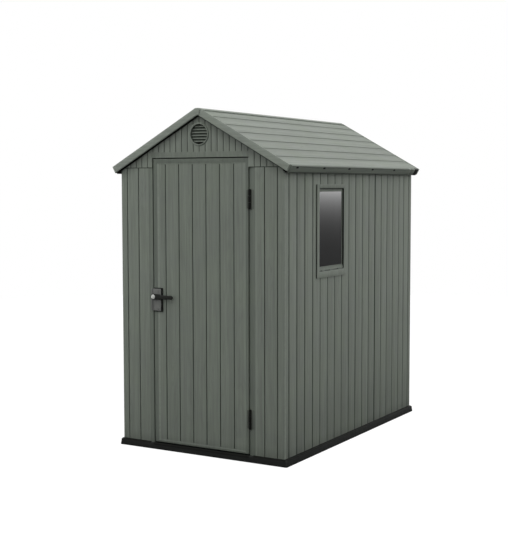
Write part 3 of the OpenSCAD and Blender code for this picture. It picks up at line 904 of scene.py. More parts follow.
def ridge():
    """The ridge cap: a folded strip with rolled edges."""
    half = [(0.0, RIDGE_Z), (RIDGE_F - 4, RIDGE_Z), (RIDGE_F - 1.2, RIDGE_Z - 0.25), (RIDGE_F + 1.4, RIDGE_Z - 1.2)]
    half += [sl(a, d) for a, d in ((5.0, 0.2), (21.2, 0.2), (22.4, 0.6), (23.2, 1.5), (23.6, 4.8), (29.0, 4.8), (29.6, 2.2), (30.4, 1.4), (31.6, 1.0), (32.8, 1.1), (33.5, 1.8),
                                   (33.5, 3.3), (31.0, 3.35), (30.0, 6.4), (6.0, 6.6))]
    low = [(0.0, RIDGE_Z - 8.4)]
    poly = half + low + [(-x, z) for x, z in reversed(half[1:])]
    ob = to_object(prism(poly, "y", FY - LIP_Y + 0.1, BY + LIP_Y - 0.1), "ridge_strip", 24)
    plain_marks(ob, 0.7, 3)
    me = ob.data
    # painted shade in the groove beside the ridge
    painted_shade = np.zeros(len(me.vertices))
    edge = np.zeros(len(me.polygons))
    for v in me.vertices:
        x, z = abs(v.co.x * 1000), v.co.z * 1000
        along, deep = (x - RIDGE_F) * C + (RIDGE_Z - z) * S, -(x - RIDGE_F) * S + (RIDGE_Z - z) * C
        if 23 < along < 30.2 and 1.3 < deep < 5.0:
            painted_shade[v.index] = 1.0
    put(me, "painted_shade", "POINT", painted_shade)
    put(me, "edge", "FACE", edge)
    return ob


add(ridge(), "shed", "roof_resin", "ridge_cap")


def rake(front, sign):
    """A rake trim: an upright face with a thin lip along its top, a round
    lower edge and a round end. The left one carries the flat of the ridge."""
    y_in = FY if front else BY
    d = 1 if front else -1
    L = SLOPE_L
    H = RAKE_H
    # (deep, how far it stands out from the wall)
    sec = [(5.6, 0.0), (5.6, LIP_Y), (0.6, LIP_Y + 0.2), (0.0, LIP_Y + 0.9), (0.0, 18.4), (0.3, 19.15), (1.1, 19.5),
           (14.0, 19.5), (25.0, 19.5), (36.0, 19.5), (38.0, 19.3), (39.6, 18.6), (40.8, 17.5), (41.6, 16.2), (H, 14.6), (H, 0.0)]

    def ring(at, small=0.0, back=0.0):
        out = []
        for deep, o in sec:
            dd = min(max(deep, small), H - small)
            oo = max(min(o, 19.5 - small - back * o / 19.5), 0.0)
            x, z = at(dd)
            out.append((x, y_in - d * oo, z))
        return out

    def slope(sg, a):
        return lambda dd: (sg * sl(a, dd)[0], sl(a, dd)[1])

    def seam(off):
        return lambda dd: sl(SEAM[0] + SEAM[1] * dd + off, dd)

    def kink(sg):
        return lambda dd: (sg * (RIDGE_F - dd * math.tan(PITCH / 2)), RIDGE_Z - dd)

    e = L - (10.0 if sign > 0 and front else 1.0)
    end = [(e - 4.0, 0.0), (e - 2.4, 0.35), (e - 1.1, 1.3), (e - 0.3, 2.6), (e, 4.2)]
    if sign > 0:
        rings = [ring(seam(1.2), 2.0), ring(seam(3.4))]
        rings += [ring(slope(1, a), 0.0, back) for a, back in end]
    else:
        rings = [ring(seam(-1.2), 2.0), ring(seam(-3.4)), ring(kink(1)), ring(kink(-1))]
        rings += [ring(slope(-1, a), 0.0, back) for a, back in end]
    name = f"rake_{'front' if front else 'back'}_{'right' if sign > 0 else 'left'}"
    ob = to_object(loft(rings), "trim_" + name, 30)
    plain_marks(ob, 0.3 + 0.4 * rnd(sign, front), 4)
    put(ob.data, "edge", "FACE", np.zeros(len(ob.data.polygons)))
    return ob, name


def rake_joint(front):
    """A black tongue behind the gap where the two rakes meet: painted shade in the gap."""
    y_in, d = (FY, 1) if front else (BY, -1)
    rings = []
    for off in (-3.0, 3.0):
        ring = []
        for dd, o in ((6.2, 0.3), (6.2, 15.4), (6.8, 16.0), (RAKE_H - 1.2, 16.0), (RAKE_H - 0.6, 15.4), (RAKE_H - 0.6, 0.3)):
            x, z = sl(SEAM[0] + SEAM[1] * dd + off, dd)
            ring.append((x, y_in - d * o, z))
        rings.append(ring)
    ob = to_object(loft(rings), "rake_shade_tongue_front" if front else "rake_shade_tongue_back", 30)
    plain_marks(ob, 0.5, 0.1)
    return ob


for front in (True, False):
    for sign in (-1, 1):
        ob, name = rake(front, sign)
        add(ob, "shed", "trim_resin", name)
    add(rake_joint(front), "shed", "black_plastic")


def eave(sign):
    """An eave fascia with a rounded nose and a drip groove underneath."""
    L = SLOPE_L
    a0 = L - EAVE_T + 0.1
    q = [(a0, 1.2), (L - 4.0, 1.0), (L - 1.6, 1.6), (L - 0.4, 3.0), (L, 5.0), (L, 13.0), (L - 0.8, 13.6), (L - 0.8, 15.4), (L, 16.0),
         (L, EAVE_H - 9), (L, EAVE_H - 6.5), (L, EAVE_H - 3), (L - 1.0, EAVE_H - 0.8), (L - 3, EAVE_H), (L - 8, EAVE_H), (L - 8.6, EAVE_H - 2.0), (L - 10.4, EAVE_H - 2.0),
         (L - 11, EAVE_H), (a0, EAVE_H)]
    def at(pts):
        return [(sign * x, z) for x, z in (sl(a, d) for a, d in pts)]

    side = "right" if sign > 0 else "left"
    ob = to_object(prism(at(q), "y", FY + 1.4, 768.0), f"fascia_{side}", 30)
    plain_marks(ob, 0.5, 0.1)
    # painted shade on the fascia: most along its underside and drip, some on its nose
    painted_shade = np.zeros(len(ob.data.vertices))
    for v in ob.data.vertices:
        x, z = abs(v.co.x * 1000), v.co.z * 1000
        deep = -(x - RIDGE_F) * S + (RIDGE_Z - z) * C
        painted_shade[v.index] = 0.9 if deep > EAVE_H - 7.5 else 0.3 if deep < 6 else 0.06
    put(ob.data, "painted_shade", "POINT", painted_shade)
    # a dark cap on the front end
    cap = to_object(prism(at(inset(q, 0.5)), "y", FY - 1.2, FY + 1.3, 0.4), f"fascia_cap_{side}", 30)
    plain_marks(cap, 0.5, 0.1)
    add(cap, "shed", "trim_resin")
    # a collar, a joining sleeve and a black stop close the rear end; the black stop is painted shade in the recess at
    # the end
    wide = [(a0, 1.2), (L - 4.0, 0.9), (L - 1.4, 1.4), (L - 0.2, 2.8), (L, 5.0), (L, EAVE_H - 2), (L - 0.8, EAVE_H - 0.2), (L - 2.6, EAVE_H + 0.8),
            (L - 11, EAVE_H + 0.8), (a0, EAVE_H + 0.8)]

    def run(name, levels):
        rings = [[(x, y, z) for x, z in at(inset(wide, i))] for y, i in levels]
        part = to_object(loft(rings), f"{name}_{side}", 30)
        plain_marks(part, 0.5, 3)
        return part

    collar = run("fascia_collar", ((746.0, 1.4), (747.0, 0.5), (748.6, 0.0), (773.0, 0.0), (774.6, 0.6), (775.8, 1.7), (790.0, 1.7)))
    sleeve = run("fascia_sleeve", ((776.0, 1.6), (776.6, 0.9), (777.6, 0.6), (848.6, 0.6), (849.6, 1.0), (850.0, 1.6)))
    shade_stop = run("fascia_shade_stop", ((850.2, 0.9), (851.0, 0.3), (852.4, 0.1), (BY - 3.0, 0.1), (BY - 1.2, 0.6), (BY, 1.8)))
    add(collar, "shed", "trim_resin")
    add(sleeve, "shed", "trim_resin")
    add(shade_stop, "shed", "black_plastic")
    return ob


add(eave(1), "shed", "trim_resin", "eave_right")
add(eave(-1), "shed", "trim_resin", "eave_left")

# ------------------------------------------------------------------- base


def base():
    x1, y1 = BASE_HI[0] + 4.0, BASE_HI[1]
    h = BASE_H
    prof = [(0.0, 1.0), (0.0, 0.0), (0.0, 4.0), (4.2, h - 4.6), (5.2, h - 2.2), (7.4, h - 0.5), (10.0, h)]
    rings = []
    for ins, z in ((1.0, 0.0), (0.0, 1.0), (0.0, 4.0), (2.4, h / 2), (4.0, h - 5.0), (4.8, h - 2.6), (6.6, h - 0.8), (9.2, h)):
        q = rounded(-x1 + ins, x1 - ins, -y1 + ins, y1 - ins, 9 - ins * 0.4, 5)
        rings.append([(x, y, z) for x, y in q])
    ob = to_object(loft(rings), "floor_moulding", 30)
    # floor boards inside: shallow grooves
    bm = bmesh.new()
    xs = [-486 + 108 * k for k in range(10)]
    ya, yb = FY + WT + 12, BY - WT - 8
    for x in xs:
        loft([[(x - 4, y, h + 1), (x - 2.6, y, h - 0.4), (x - 1.6, y, h - 3), (x + 1.6, y, h - 3), (x + 2.6, y, h - 0.4), (x + 4, y, h + 1)] for y in (ya, yb)], bm)
    cut(ob, to_object(bm, "tool_floor"))
    plain_marks(ob, 0.5, 3)
    return ob


add(base(), "shed", "base_resin", "floor_base")
# a black strip along the threshold, under the door: painted shade in the gap under the door
sec = [(-911.3, 27.0), (-910.1, 33.1), (-909.3, 35.7), (-907.5, 37.6), (-904.4, 38.5), (-899.0, 38.6), (-898.0, 37.0), (-904.0, 28.0)]
off = FY + 903.0
ob = to_object(loft([[(x, y + off, z) for y, z in sec] for x in (JAMB_L + 1.0, JAMB_R - 1.0)]), "threshold_shade_strip", 35)
plain_marks(ob, 0.5, 0.1)
add(ob, "shed", "black_plastic")
# and a black bead in the corner between the walls and the base: painted shade where the walls meet the base
sec = [(0.06, 31.0), (0.06, 43.0), (0.5, 43.4), (1.3, 43.0), (2.0, 41.0), (2.8, 39.2), (4.1, 38.5), (5.8, 36.9), (6.8, 33.8), (5.0, 31.0)]
path = [(JAMB_R + 26.0, FY, 0.0, -1.0)]
for cx, cy, a0 in ((WW - 10.0, FY + 10.0, -90), (WW - 10.0, BY - 10.0, 0), (10.0 - WW, BY - 10.0, 90), (10.0 - WW, FY + 10.0, 180)):
    for k in range(7):
        t = math.radians(a0 + 15 * k)
        path.append((cx + 10.0 * math.cos(t), cy + 10.0 * math.sin(t), math.cos(t), math.sin(t)))
path.append((JAMB_L - 20.0, FY, 0.0, -1.0))
rings = []
for x, y, nx, ny in path:
    reach = [o + (8.7 * abs(nx) if o > 3 else 0.0) for o, z in sec]
    rings.append([(x + nx * o, y + ny * o, z) for o, (_, z) in zip(reach, sec)])
ob = to_object(loft(rings), "foot_shade_bead", 35)
plain_marks(ob, 0.5, 0.1)
add(ob, "shed", "black_plastic")

# --------------------------------------------------------- door furniture
HX, HY = 342.0, FY + 3.0


def hinge(zc, fixed, name):
    if fixed:
        bm = bmesh.new()
        for a, b in ((zc - 58, zc - 19), (zc + 19, zc + 58)):
            prof = [(4.6, a), (6.2, a + 0.5), (7.0, a + 1.6), (7.0, b - 1.6), (6.2, b - 0.5), (4.6, b)]
            turned(prof, "z", HX, HY, 32, bm)
        # the pin
        for a, b in ((zc - 18.6, zc + 18.6),):
            turned([(3.0, a), (3.0, b)], "z", HX, HY, 24, bm)
        # webs behind the knuckles, into the slanting reveal
        for a, b in ((zc - 57, zc - 20), (zc + 20, zc + 57)):
            block(HX - 3.4, HX + 3.4, HY + 3.0, FY + 15.5, a, b, 0.6, "y", 0.8, 2, bm)
    else:
        a, b = zc - 18, zc + 18
        prof = [(4.6, a), (6.2, a + 0.4), (7.0, a + 1.4), (7.0, b - 1.4), (6.2, b - 0.4), (4.6, b)]
        prof += [(3.1, b), (3.1, a)]
        bm = turned(prof, "z", HX, HY, 32, closed=True)
        y = LEAF_LO[1]
        block(LEAF_HI[0] - 1.9, HX - 4.4, y, y + 3, a + 0.4, b - 0.4, 0.5, "y", 0.6, 2, bm)
        block(LEAF_HI[0] - 1.9, LEAF_HI[0], y + 0.2, y + 14, a + 0.4, b - 0.4, 0.5, "x", 0.6, 2, bm)
    ob = to_object(bm, name, 35)
    plain_marks(ob, 0.5, 0.1)
    return ob


def hinge_leaf(zc, word):
    """The thin plate of a hinge on the slanting reveal."""
    jx = LEAF_HI[0] + 2.5
    ang = math.atan2(13.5, 44.0)
    ux, uy = math.cos(ang), -math.sin(ang)
    nx, ny = -math.sin(ang), -math.cos(ang)
    rings = []
    for i, w in ((0.0, -0.4), (0.0, 0.8), (0.35, 1.15), (0.9, 1.3)):
        q = rounded(12.5 + i, 37.0 - i, zc - 55 + i, zc + 55 - i, 6.0, 5)
        rings.append([(jx + u * ux + w * nx, FY + 14.0 + u * uy + w * ny, z) for u, z in q])
    bm = loft(rings)
    for z in (zc - 38, zc, zc + 38):
        rings = []
        for r, w in ((3.6, 1.1), (3.6, 1.5), (2.9, 1.9), (1.5, 2.0), (1.2, 1.4)):
            rings.append([(jx + (27 + r * math.cos(t)) * ux + w * nx, FY + 14.0 + (27 + r * math.cos(t)) * uy + w * ny, z + r * math.sin(t))
                          for t in (2 * math.pi * k / 18 for k in range(18))])
        loft(rings, bm)
    ob = to_object(bm, f"leaf_plate_{word}", 35)
    plain_marks(ob, 0.5, 0.1)
    return ob


def door_plate(zc, word):
    """The hinge's other plate, on the rim of the door leaf."""
    x1, y = LEAF_HI[0] - 3.4, LEAF_LO[1]
    ob = to_object(block(x1 - 9.0, x1, y - 1.3, y + 0.4, zc - 54, zc + 54, 0.6, "y", 3.5, 4), f"door_plate_{word}", 35)
    plain_marks(ob, 0.5, 0.1)
    return ob


for zc, word in ((box("hinge_lower_fixed")[0][2] + 51, "lower"), (box("hinge_upper_fixed")[0][2] + 51, "upper")):
    add(hinge(zc, True, f"hinge_{word}_knuckles"), "shed", "black_plastic", f"hinge_{word}_fixed")
    add(hinge(zc, False, f"hinge_{word}_middle"), "door", "black_plastic", f"hinge_{word}_moving")
    add(hinge_leaf(zc, word), "shed", "grey_plastic")
    add(door_plate(zc, word), "door", "grey_plastic")

PX, PZ = -328.0, 931.6


def plate():
    y0 = PLATE_LO[1]
    bm = block(PLATE_LO[0] - 3.5, PLATE_HI[0] - 3.5, y0, LEAF_LO[1], PLATE_LO[2], PLATE_HI[2], 1.8, "y", 4.0, 3)
    ob = to_object(bm, "latch_body", 32)
    # the spindle's hole, a shallow panel and two screw seats
    t = [to_object(turned([(3.6, y0 - 2), (3.6, y0 + 20)], "y", PX, PZ, 32), "tool_a")]
    bm = bmesh.new()
    for z in (PLATE_LO[2] + 11, PLATE_HI[2] - 11):
        turned([(4.2, y0 - 1), (4.2, y0 + 0.2), (3.4, y0 + 2.2), (3.4, y0 + 3.0)], "y", -296.0, z, 28, bm)
    t.append(to_object(bm, "tool_b"))
    lv = []
    for y, i in ((y0 - 1.0, -1.0), (y0, 0.0), (y0 + 0.9, 0.9)):
        lv.append([(p[0], y, p[1]) for p in rounded(PLATE_LO[0] + 5 + i, PLATE_HI[0] - 4 - i, PLATE_LO[2] + 20 + i, PZ - 26 - i, 3, 3)])
    t.append(to_object(loft(lv), "tool_c"))
    cut(ob, *t)
    bm = bmesh.new()
    bm.from_mesh(ob.data)
    for v in bm.verts:
        v.co *= 1000
    for z in (PLATE_LO[2] + 11, PLATE_HI[2] - 11):
        turned([(3.2, y0 + 2.6), (3.2, y0 + 1.4), (2.4, y0 + 0.7), (1.2, y0 + 0.5), (1.1, y0 + 1.3)], "y", -296.0, z, 24, bm)
    bpy.data.objects.remove(ob)
    ob = to_object(bm, "latch_body", 32)
    plain_marks(ob, 0.5, 3)
    return ob


add(plate(), "door", "grey_plastic", "latch_plate")
# a black backing plate behind the grey one: its right part is the latch's dark body, while its rim above and below the
# grey plate is painted shadow
shade_backing = to_object(block(PLATE_LO[0] - 3.0, PLATE_HI[0] + 5.0, LEAF_LO[1] - 7.5, LEAF_LO[1] + 1.0, PLATE_LO[2] - 4.5, PLATE_HI[2] + 6.0, 1.4, "y", 4.0, 3), "latch_shade_backing", 32)
cut(shade_backing, to_object(turned([(3.6, LEAF_LO[1] - 12), (3.6, LEAF_LO[1] + 6)], "y", PX, PZ, 32), "tool"))
plain_marks(shade_backing, 0.5, 1.0)
add(shade_backing, "door", "black_plastic")


def keeper():
    y0 = KEEP_LO[1]
    bm = block(KEEP_LO[0], KEEP_HI[0], y0, FY + 4.2, KEEP_LO[2], KEEP_HI[2], 1.6, "y", 3.0, 3)
    ob = to_object(bm, "latch_strike", 32)
    plain_marks(ob, 0.5, 3)
    return ob


add(keeper(), "shed", "grey_plastic", "latch_keeper")


def lever():
    y0 = PLATE_LO[1]                  # plate's front face
    bm = turned([(3.5, y0 + 7), (3.5, y0 - 4.4)], "y", PX, PZ, 32)
    # boss round the lock
    turned([(16.0, y0 - 5.0), (17.4, y0 - 5.6), (18.0, y0 - 7.0), (18.0, y0 - 11.0), (17.4, y0 - 12.4), (16.6, y0 - 13.0), (3.0, y0 - 13.0), (3.0, y0 - 5.0)],
           "y", PX, PZ, 56, bm)
    # broad root of the lever, tapering into the arm, then a rounded knob
    secs = [(-326, 17.5, -5.2, -11.0), (-300, 17.0, -5.2, -11.0), (-282, 16.5, -5.2, -11.2), (-277, 14.0, -5.2, -12.2), (-270, 12.4, -5.2, -14.0),
            (-250, 12.0, -5.2, -14.6), (-222, 11.6, -5.2, -14.8), (-214, 11.6, -5.2, -15.0), (-205, 12.2, -5.0, -15.2), (-195, 11.4, -5.2, -14.6),
            (-190, 8.6, -5.8, -13.4), (-187.6, 5.2, -6.8, -12.0)]
    rings = []
    for x, h, ya, yb in secs:
        q = rounded(-h, h, yb, ya, min(3.6, (ya - yb) / 2 - 0.2), 4)
        rings.append([(x, y0 + v, PZ + u) for u, v in q])
    loft(rings, bm)
    ob = to_object(bm, "latch_handle", 38)
    plain_marks(ob, 0.5, 3)
    return ob


add(lever(), "latch", "black_plastic", "latch_lever")


def lock():
    y0, y1 = LOCK_LO[1], LOCK_HI[1]
    r = (LOCK_HI[0] - LOCK_LO[0]) / 2 - 2.4
    bm = turned([(r - 0.4, y1), (r, y1 - 0.5), (r, y0 + 1.0), (r - 0.5, y0 + 0.3), (r - 1.6, y0), (8.0, y0), (7.6, y0 + 0.5), (6.8, y0 + 0.5), (6.4, y0), (0.6, y0)],
                "y", PX, PZ, 64)
    ob = to_object(bm, "lock_face", 30)
    slot = to_object(block(PX - 0.9, PX + 0.9, y0 - 1, y0 + 1.6, PZ - 4.6, PZ + 4.6, 0.2, "y", 0.5), "tool_key")
    cut(ob, slot)
    plain_marks(ob, 0.5, 2)
    return ob


add(lock(), "latch", "lock_metal", "lock_barrel")

# small oblong plugs in the fascia
bm = bmesh.new()
for sign in (-1, 1):
    for y in (-838.4, -511.0, -177.2, 157.6, 497.7):
        rings = []
        for i, w in ((0.0, -1.5), (0.0, 0.7), (0.5, 1.2), (2.2, 1.5), (2.8, 0.8)):
            ring = []
            for u, v in rounded(-13.0 + i, 13.0 - i, 6.4 + i, 17.4 - i, 5.2 - i, 5):
                q = sl(SLOPE_L + w, v)
                ring.append((sign * q[0], y + u, q[1]))
            rings.append(ring)
        loft(rings, bm)
plugs = to_object(bm, "fascia_plugs")
plain_marks(plugs)
add(plugs, "shed", "black_plastic")

# -------------------------------------------------------------- materials


class Nodes:
    """Short hands for building a material's node tree."""

    def __init__(self, name):
        self.mat = bpy.data.materials.new(name)
        self.mat.use_nodes = True
        self.t = self.mat.node_tree
        self.t.nodes.clear()
        self.out = self.t.nodes.new("ShaderNodeOutputMaterial")
        self.bsdf = self.t.nodes.new("ShaderNodeBsdfPrincipled")
        self.t.links.new(self.bsdf.outputs[0], self.out.inputs[0])
        self.tc = self.t.nodes.new("ShaderNodeTexCoord")
        self.obj = self.tc.outputs["Object"]

    def node(self, kind, **props):
        n = self.t.nodes.new(kind)
        for k, v in props.items():
            setattr(n, k, v)
        return n

    def link(self, a, b):
        self.t.links.new(a, b)

    def scaled(self, scale, vec=None, offset=None):
        m = self.node("ShaderNodeMapping")
        m.inputs["Scale"].default_value = scale
        if offset:
            m.inputs["Location"].default_value = offset
        self.link(vec or self.obj, m.inputs["Vector"])
        return m.outputs[0]

    def noise(self, vec, scale=1.0, detail=3.0, rough=0.5, dist=0.0):
        n = self.node("ShaderNodeTexNoise")
        n.inputs["Scale"].default_value = scale
        n.inputs["Detail"].default_value = detail
        n.inputs["Roughness"].default_value = rough
        n.inputs["Distortion"].default_value = dist
        self.link(vec, n.inputs["Vector"])
        return n.outputs["Fac"]

    def attr(self, name):
        n = self.node("ShaderNodeAttribute")
        n.attribute_name = name
        return n.outputs["Fac"]

    def math(self, op, a, b=None, c=None, clamp=False):
        n = self.node("ShaderNodeMath", operation=op, use_clamp=clamp)
        for i, v in enumerate((a, b, c)):
            if v is None:
                continue
            if isinstance(v, (int, float)):
                n.inputs[i].default_value = v
            else:
                self.link(v, n.inputs[i])
        return n.outputs[0]

    def remap(self, v, a, b, c, d, smooth=False):
        n = self.node("ShaderNodeMapRange")
        n.interpolation_type = "SMOOTHSTEP" if smooth else "LINEAR"
        self.link(v, n.inputs["Value"])
        for i, x in zip(("From Min", "From Max", "To Min", "To Max"), (a, b, c, d)):
            n.inputs[i].default_value = x
        return n.outputs[0]

    def mix(self, fac, a, b, mode="MIX"):
        n = self.node("ShaderNodeMix", data_type="RGBA", blend_type=mode)
        for sock, v in ((n.inputs[0], fac), (n.inputs[6], a), (n.inputs[7], b)):
            if isinstance(v, (int, float)):
                sock.default_value = v
            elif isinstance(v, (tuple, list)):
                sock.default_value = (*v, 1.0) if len(v) == 3 else v
            else:
                self.link(v, sock)
        return n.outputs[2]

    def value(self, col, fac):
        """Colour times a grey factor."""
        n = self.node("ShaderNodeVectorMath", operation="SCALE")
        self.link(col, n.inputs[0])
        self.link(fac, n.inputs["Scale"])
        return n.outputs[0]

    def bump(self, height, dist, strength=1.0, normal=None):
        n = self.node("ShaderNodeBump")
        n.inputs["Strength"].default_value = strength
        n.inputs["Distance"].default_value = dist
        self.link(height, n.inputs["Height"])
        if normal is not None:
            self.link(normal, n.inputs["Normal"])
        return n.outputs[0]


def resin(name, base, grain="z", spec=0.32, tone_amp=0.05, rough=(0.52, 0.72), bump=1.0, foot=(0.93, 0.93), under=False):
    """Moulded resin with a brushed wood look: long streaks along the
    planks, cathedral figure, fine pores, lips painted lighter as a
    highlight, and painted shade in the grooves."""
    m = Nodes(name)
    L, M, F = {"z": ((1, 1, .028), (1, 1, .07), (1, 1, .03)), "y": ((1, .028, 1), (1, .07, 1), (1, .03, 1)),
               "x": ((.028, 1, 1), (.07, 1, 1), (.03, 1, 1))}[grain]
    tone = m.attr("tone")
    # shift the figure from plank to plank
    sh = m.node("ShaderNodeCombineXYZ")
    k = m.math("MULTIPLY", tone, 37.0)
    for i in range(3):
        m.link(k, sh.inputs[i])
    va = m.node("ShaderNodeVectorMath", operation="ADD")
    m.link(m.obj, va.inputs[0])
    m.link(sh.outputs[0], va.inputs[1])
    P = va.outputs[0]
    streak = m.noise(m.scaled(L, P), 75.0, 4.0, 0.55, 0.15)
    fine = m.noise(m.scaled(F, P), 420.0, 3.0, 0.6, 0.1)
    fig = m.noise(m.scaled(M, P), 11.0, 2.0, 0.5, 0.4)
    rings = m.math("SINE", m.math("MULTIPLY", fig, 95.0))
    rings = m.remap(rings, 0.2, 1.0, 0.0, 1.0, True)
    blotch = m.noise(m.scaled((1, 1, 1), m.obj), 5.5, 3.0, 0.55)
    pore = m.noise(m.scaled((1, 1, 1), m.obj), 900.0, 2.0, 0.6)
    # brightness factor
    v = m.remap(streak, 0.25, 0.75, 0.86, 1.14)
    v = m.math("MULTIPLY", v, m.remap(fine, 0.3, 0.7, 0.965, 1.035))
    v = m.math("MULTIPLY", v, m.remap(rings, 0.0, 1.0, 1.015, 0.955))
    v = m.math("MULTIPLY", v, m.remap(blotch, 0.3, 0.7, 0.965, 1.035))
    v = m.math("MULTIPLY", v, m.remap(tone, 0.0, 1.0, 1.0 - tone_amp, 1.0 + tone_amp))
    # painted shade: darker towards the ground, and most at the very foot
    up = m.node("ShaderNodeSeparateXYZ")
    m.link(m.obj, up.inputs[0])
    v = m.math("MULTIPLY", v, m.remap(up.outputs[2], 0.0, 1.2, foot[0], 1.0))
    v = m.math("MULTIPLY", v, m.remap(up.outputs[2], 0.0, 0.5, foot[1], 1.0, True))
    v = m.math("MULTIPLY", v, m.remap(up.outputs[2], 0.040, 0.11, 0.80, 1.0, True))
    if under:
        # painted shade close under the rakes
        fall = m.math("MULTIPLY", m.math("ABSOLUTE", up.outputs[0], 0.0), S / C)
        gap = m.math("SUBTRACT", m.math("SUBTRACT", slope_z(0.0, 48.0) / 1000, fall), up.outputs[2])
        v = m.math("MULTIPLY", v, m.remap(gap, 0.0, 0.08, 0.63, 1.0, True))
    col = m.mix(m.remap(blotch, 0.35, 0.7, 0.0, 1.0), base, tuple(b * k for b, k in zip(base, (1.0, 1.015, 0.97))))
    col = m.value(col, v)
    # painted highlight on the narrow lips
    edge = m.math("MULTIPLY", m.attr("edge"), m.remap(m.noise(m.scaled((1, 1, 1), m.obj), 60.0, 3.0), 0.3, 0.7, 0.25, 0.6))
    col = m.mix(edge, col, tuple(min(b * 1.35, 1.0) for b in base))
    # painted shade in the grooves and recesses
    painted_shade = m.math("MULTIPLY", m.attr("painted_shade"), 0.9)
    col = m.mix(painted_shade, col, tuple(b * k for b, k in zip(base, (0.20, 0.24, 0.21))))
    m.link(col, m.bsdf.inputs["Base Color"])
    r = m.remap(fine, 0.25, 0.75, rough[0], rough[1])
    r = m.math("ADD", r, m.remap(blotch, 0.3, 0.7, -0.04, 0.05))
    r = m.math("ADD", r, m.math("MULTIPLY", m.attr("edge"), -0.1), clamp=True)
    m.link(r, m.bsdf.inputs["Roughness"])
    m.bsdf.inputs["Specular IOR Level"].default_value = spec
    h = m.math("ADD", m.math("MULTIPLY", streak, 0.5), m.math("MULTIPLY", fine, 0.35))
    h = m.math("SUBTRACT", h, m.math("MULTIPLY", rings, 0.18))
    n1 = m.bump(h, 0.0011 * bump, 0.8)
    n2 = m.bump(pore, 0.00012 * bump, 0.5, n1)
    m.link(n2, m.bsdf.inputs["Normal"])
    return m.mat


def moulded(name, base, rough=(0.35, 0.55), spec=0.4, grain=1.0, edge_k=2.0):
    """Injection-moulded plastic: a fine leathery skin, faint flow marks,
    scuffs, and edges painted lighter as a highlight."""
    m = Nodes(name)
    cell = m.node("ShaderNodeTexVoronoi", feature="F1")
    cell.inputs["Scale"].default_value = 520.0
    m.link(m.obj, cell.inputs["Vector"])
    big = m.noise(m.scaled((1, 1, 1)), 9.0, 4.0, 0.6)
    mid = m.noise(m.scaled((1, 1, 0.4)), 70.0, 4.0, 0.6, 0.3)
    micro = m.noise(m.scaled((1, 1, 1)), 1400.0, 2.0, 0.6)
    v = m.math("MULTIPLY", m.remap(big, 0.3, 0.7, 0.86, 1.14), m.remap(mid, 0.3, 0.7, 0.9, 1.1))
    col = m.value(m.mix(mid, base, tuple(b * k for b, k in zip(base, (1.04, 1.0, 0.96)))), v)
    # painted highlight on the narrow edges
    edge = m.math("MULTIPLY", m.attr("edge"), m.remap(mid, 0.35, 0.7, 0.15, 0.8))
    col = m.mix(edge, col, tuple(min(b * edge_k + 0.01, 1.0) for b in base))
    m.link(col, m.bsdf.inputs["Base Color"])
    m.link(m.math("ADD", m.remap(mid, 0.25, 0.75, rough[0], rough[1]), m.remap(micro, 0.3, 0.7, -0.04, 0.04)), m.bsdf.inputs["Roughness"])
    m.bsdf.inputs["Specular IOR Level"].default_value = spec
    n1 = m.bump(cell.outputs["Distance"], 0.00016 * grain, 0.6)
    n2 = m.bump(micro, 0.00005 * grain, 0.6, n1)
    m.link(n2, m.bsdf.inputs["Normal"])
    return m.mat


def metal(name):
    """Turned and plated metal: fine concentric brushing and soft wear."""
    m = Nodes(name)
    off = m.node("ShaderNodeVectorMath", operation="SUBTRACT")
    m.link(m.obj, off.inputs[0])
    off.inputs[1].default_value = (PX / 1000, 0, PZ / 1000)
    flat = m.node("ShaderNodeVectorMath", operation="MULTIPLY")
    m.link(off.outputs[0], flat.inputs[0])
    flat.inputs[1].default_value = (1, 0, 1)
    ln = m.node("ShaderNodeVectorMath", operation="LENGTH")
    m.link(flat.outputs[0], ln.inputs[0])
    ring = m.node("ShaderNodeTexNoise", noise_dimensions="1D")
    ring.inputs["Scale"].default_value = 1.0
    m.link(m.math("MULTIPLY", ln.outputs["Value"], 5200.0), ring.inputs["W"])
    wear = m.noise(m.scaled((1, 1, 1)), 160.0, 4.0, 0.6)
    col = m.mix(m.remap(wear, 0.35, 0.7, 0.0, 1.0), (0.72, 0.74, 0.70), (0.58, 0.60, 0.57))
    m.link(col, m.bsdf.inputs["Base Color"])
    m.bsdf.inputs["Metallic"].default_value = 1.0
    m.link(m.remap(ring.outputs["Fac"], 0.3, 0.7, 0.34, 0.52), m.bsdf.inputs["Roughness"])
    n1 = m.bump(ring.outputs["Fac"], 0.00002, 0.5)
    m.link(n1, m.bsdf.inputs["Normal"])
    return m.mat


def acrylic(name):
    """A smoked plastic pane, nearly opaque, with a thin film of dust."""
    m = Nodes(name)
    dust = m.noise(m.scaled((1, 1, 0.5)), 14.0, 5.0, 0.65, 0.4)
    spots = m.noise(m.scaled((1, 1, 1)), 260.0, 3.0, 0.7)
    d = m.math("ADD", m.remap(dust, 0.35, 0.8, 0.0, 0.35), m.remap(spots, 0.62, 0.8, 0.0, 0.2), clamp=True)
    col = m.mix(d, (0.017, 0.0175, 0.0175), (0.034, 0.034, 0.034))
    m.link(col, m.bsdf.inputs["Base Color"])
    m.link(m.remap(d, 0.0, 0.8, 0.02, 0.07), m.bsdf.inputs["Roughness"])
    m.bsdf.inputs["IOR"].default_value = 1.5
    m.bsdf.inputs["Transmission Weight"].default_value = 0.12
    m.bsdf.inputs["Specular IOR Level"].default_value = 0.5
    m.link(m.bump(dust, 0.00003, 0.1), m.bsdf.inputs["Normal"])
    return m.mat


GREEN = (0.189, 0.2125, 0.183)


def shade_of(k, g=1.0, b=1.0):
    return (GREEN[0] * k, GREEN[1] * k * g, GREEN[2] * k * b)


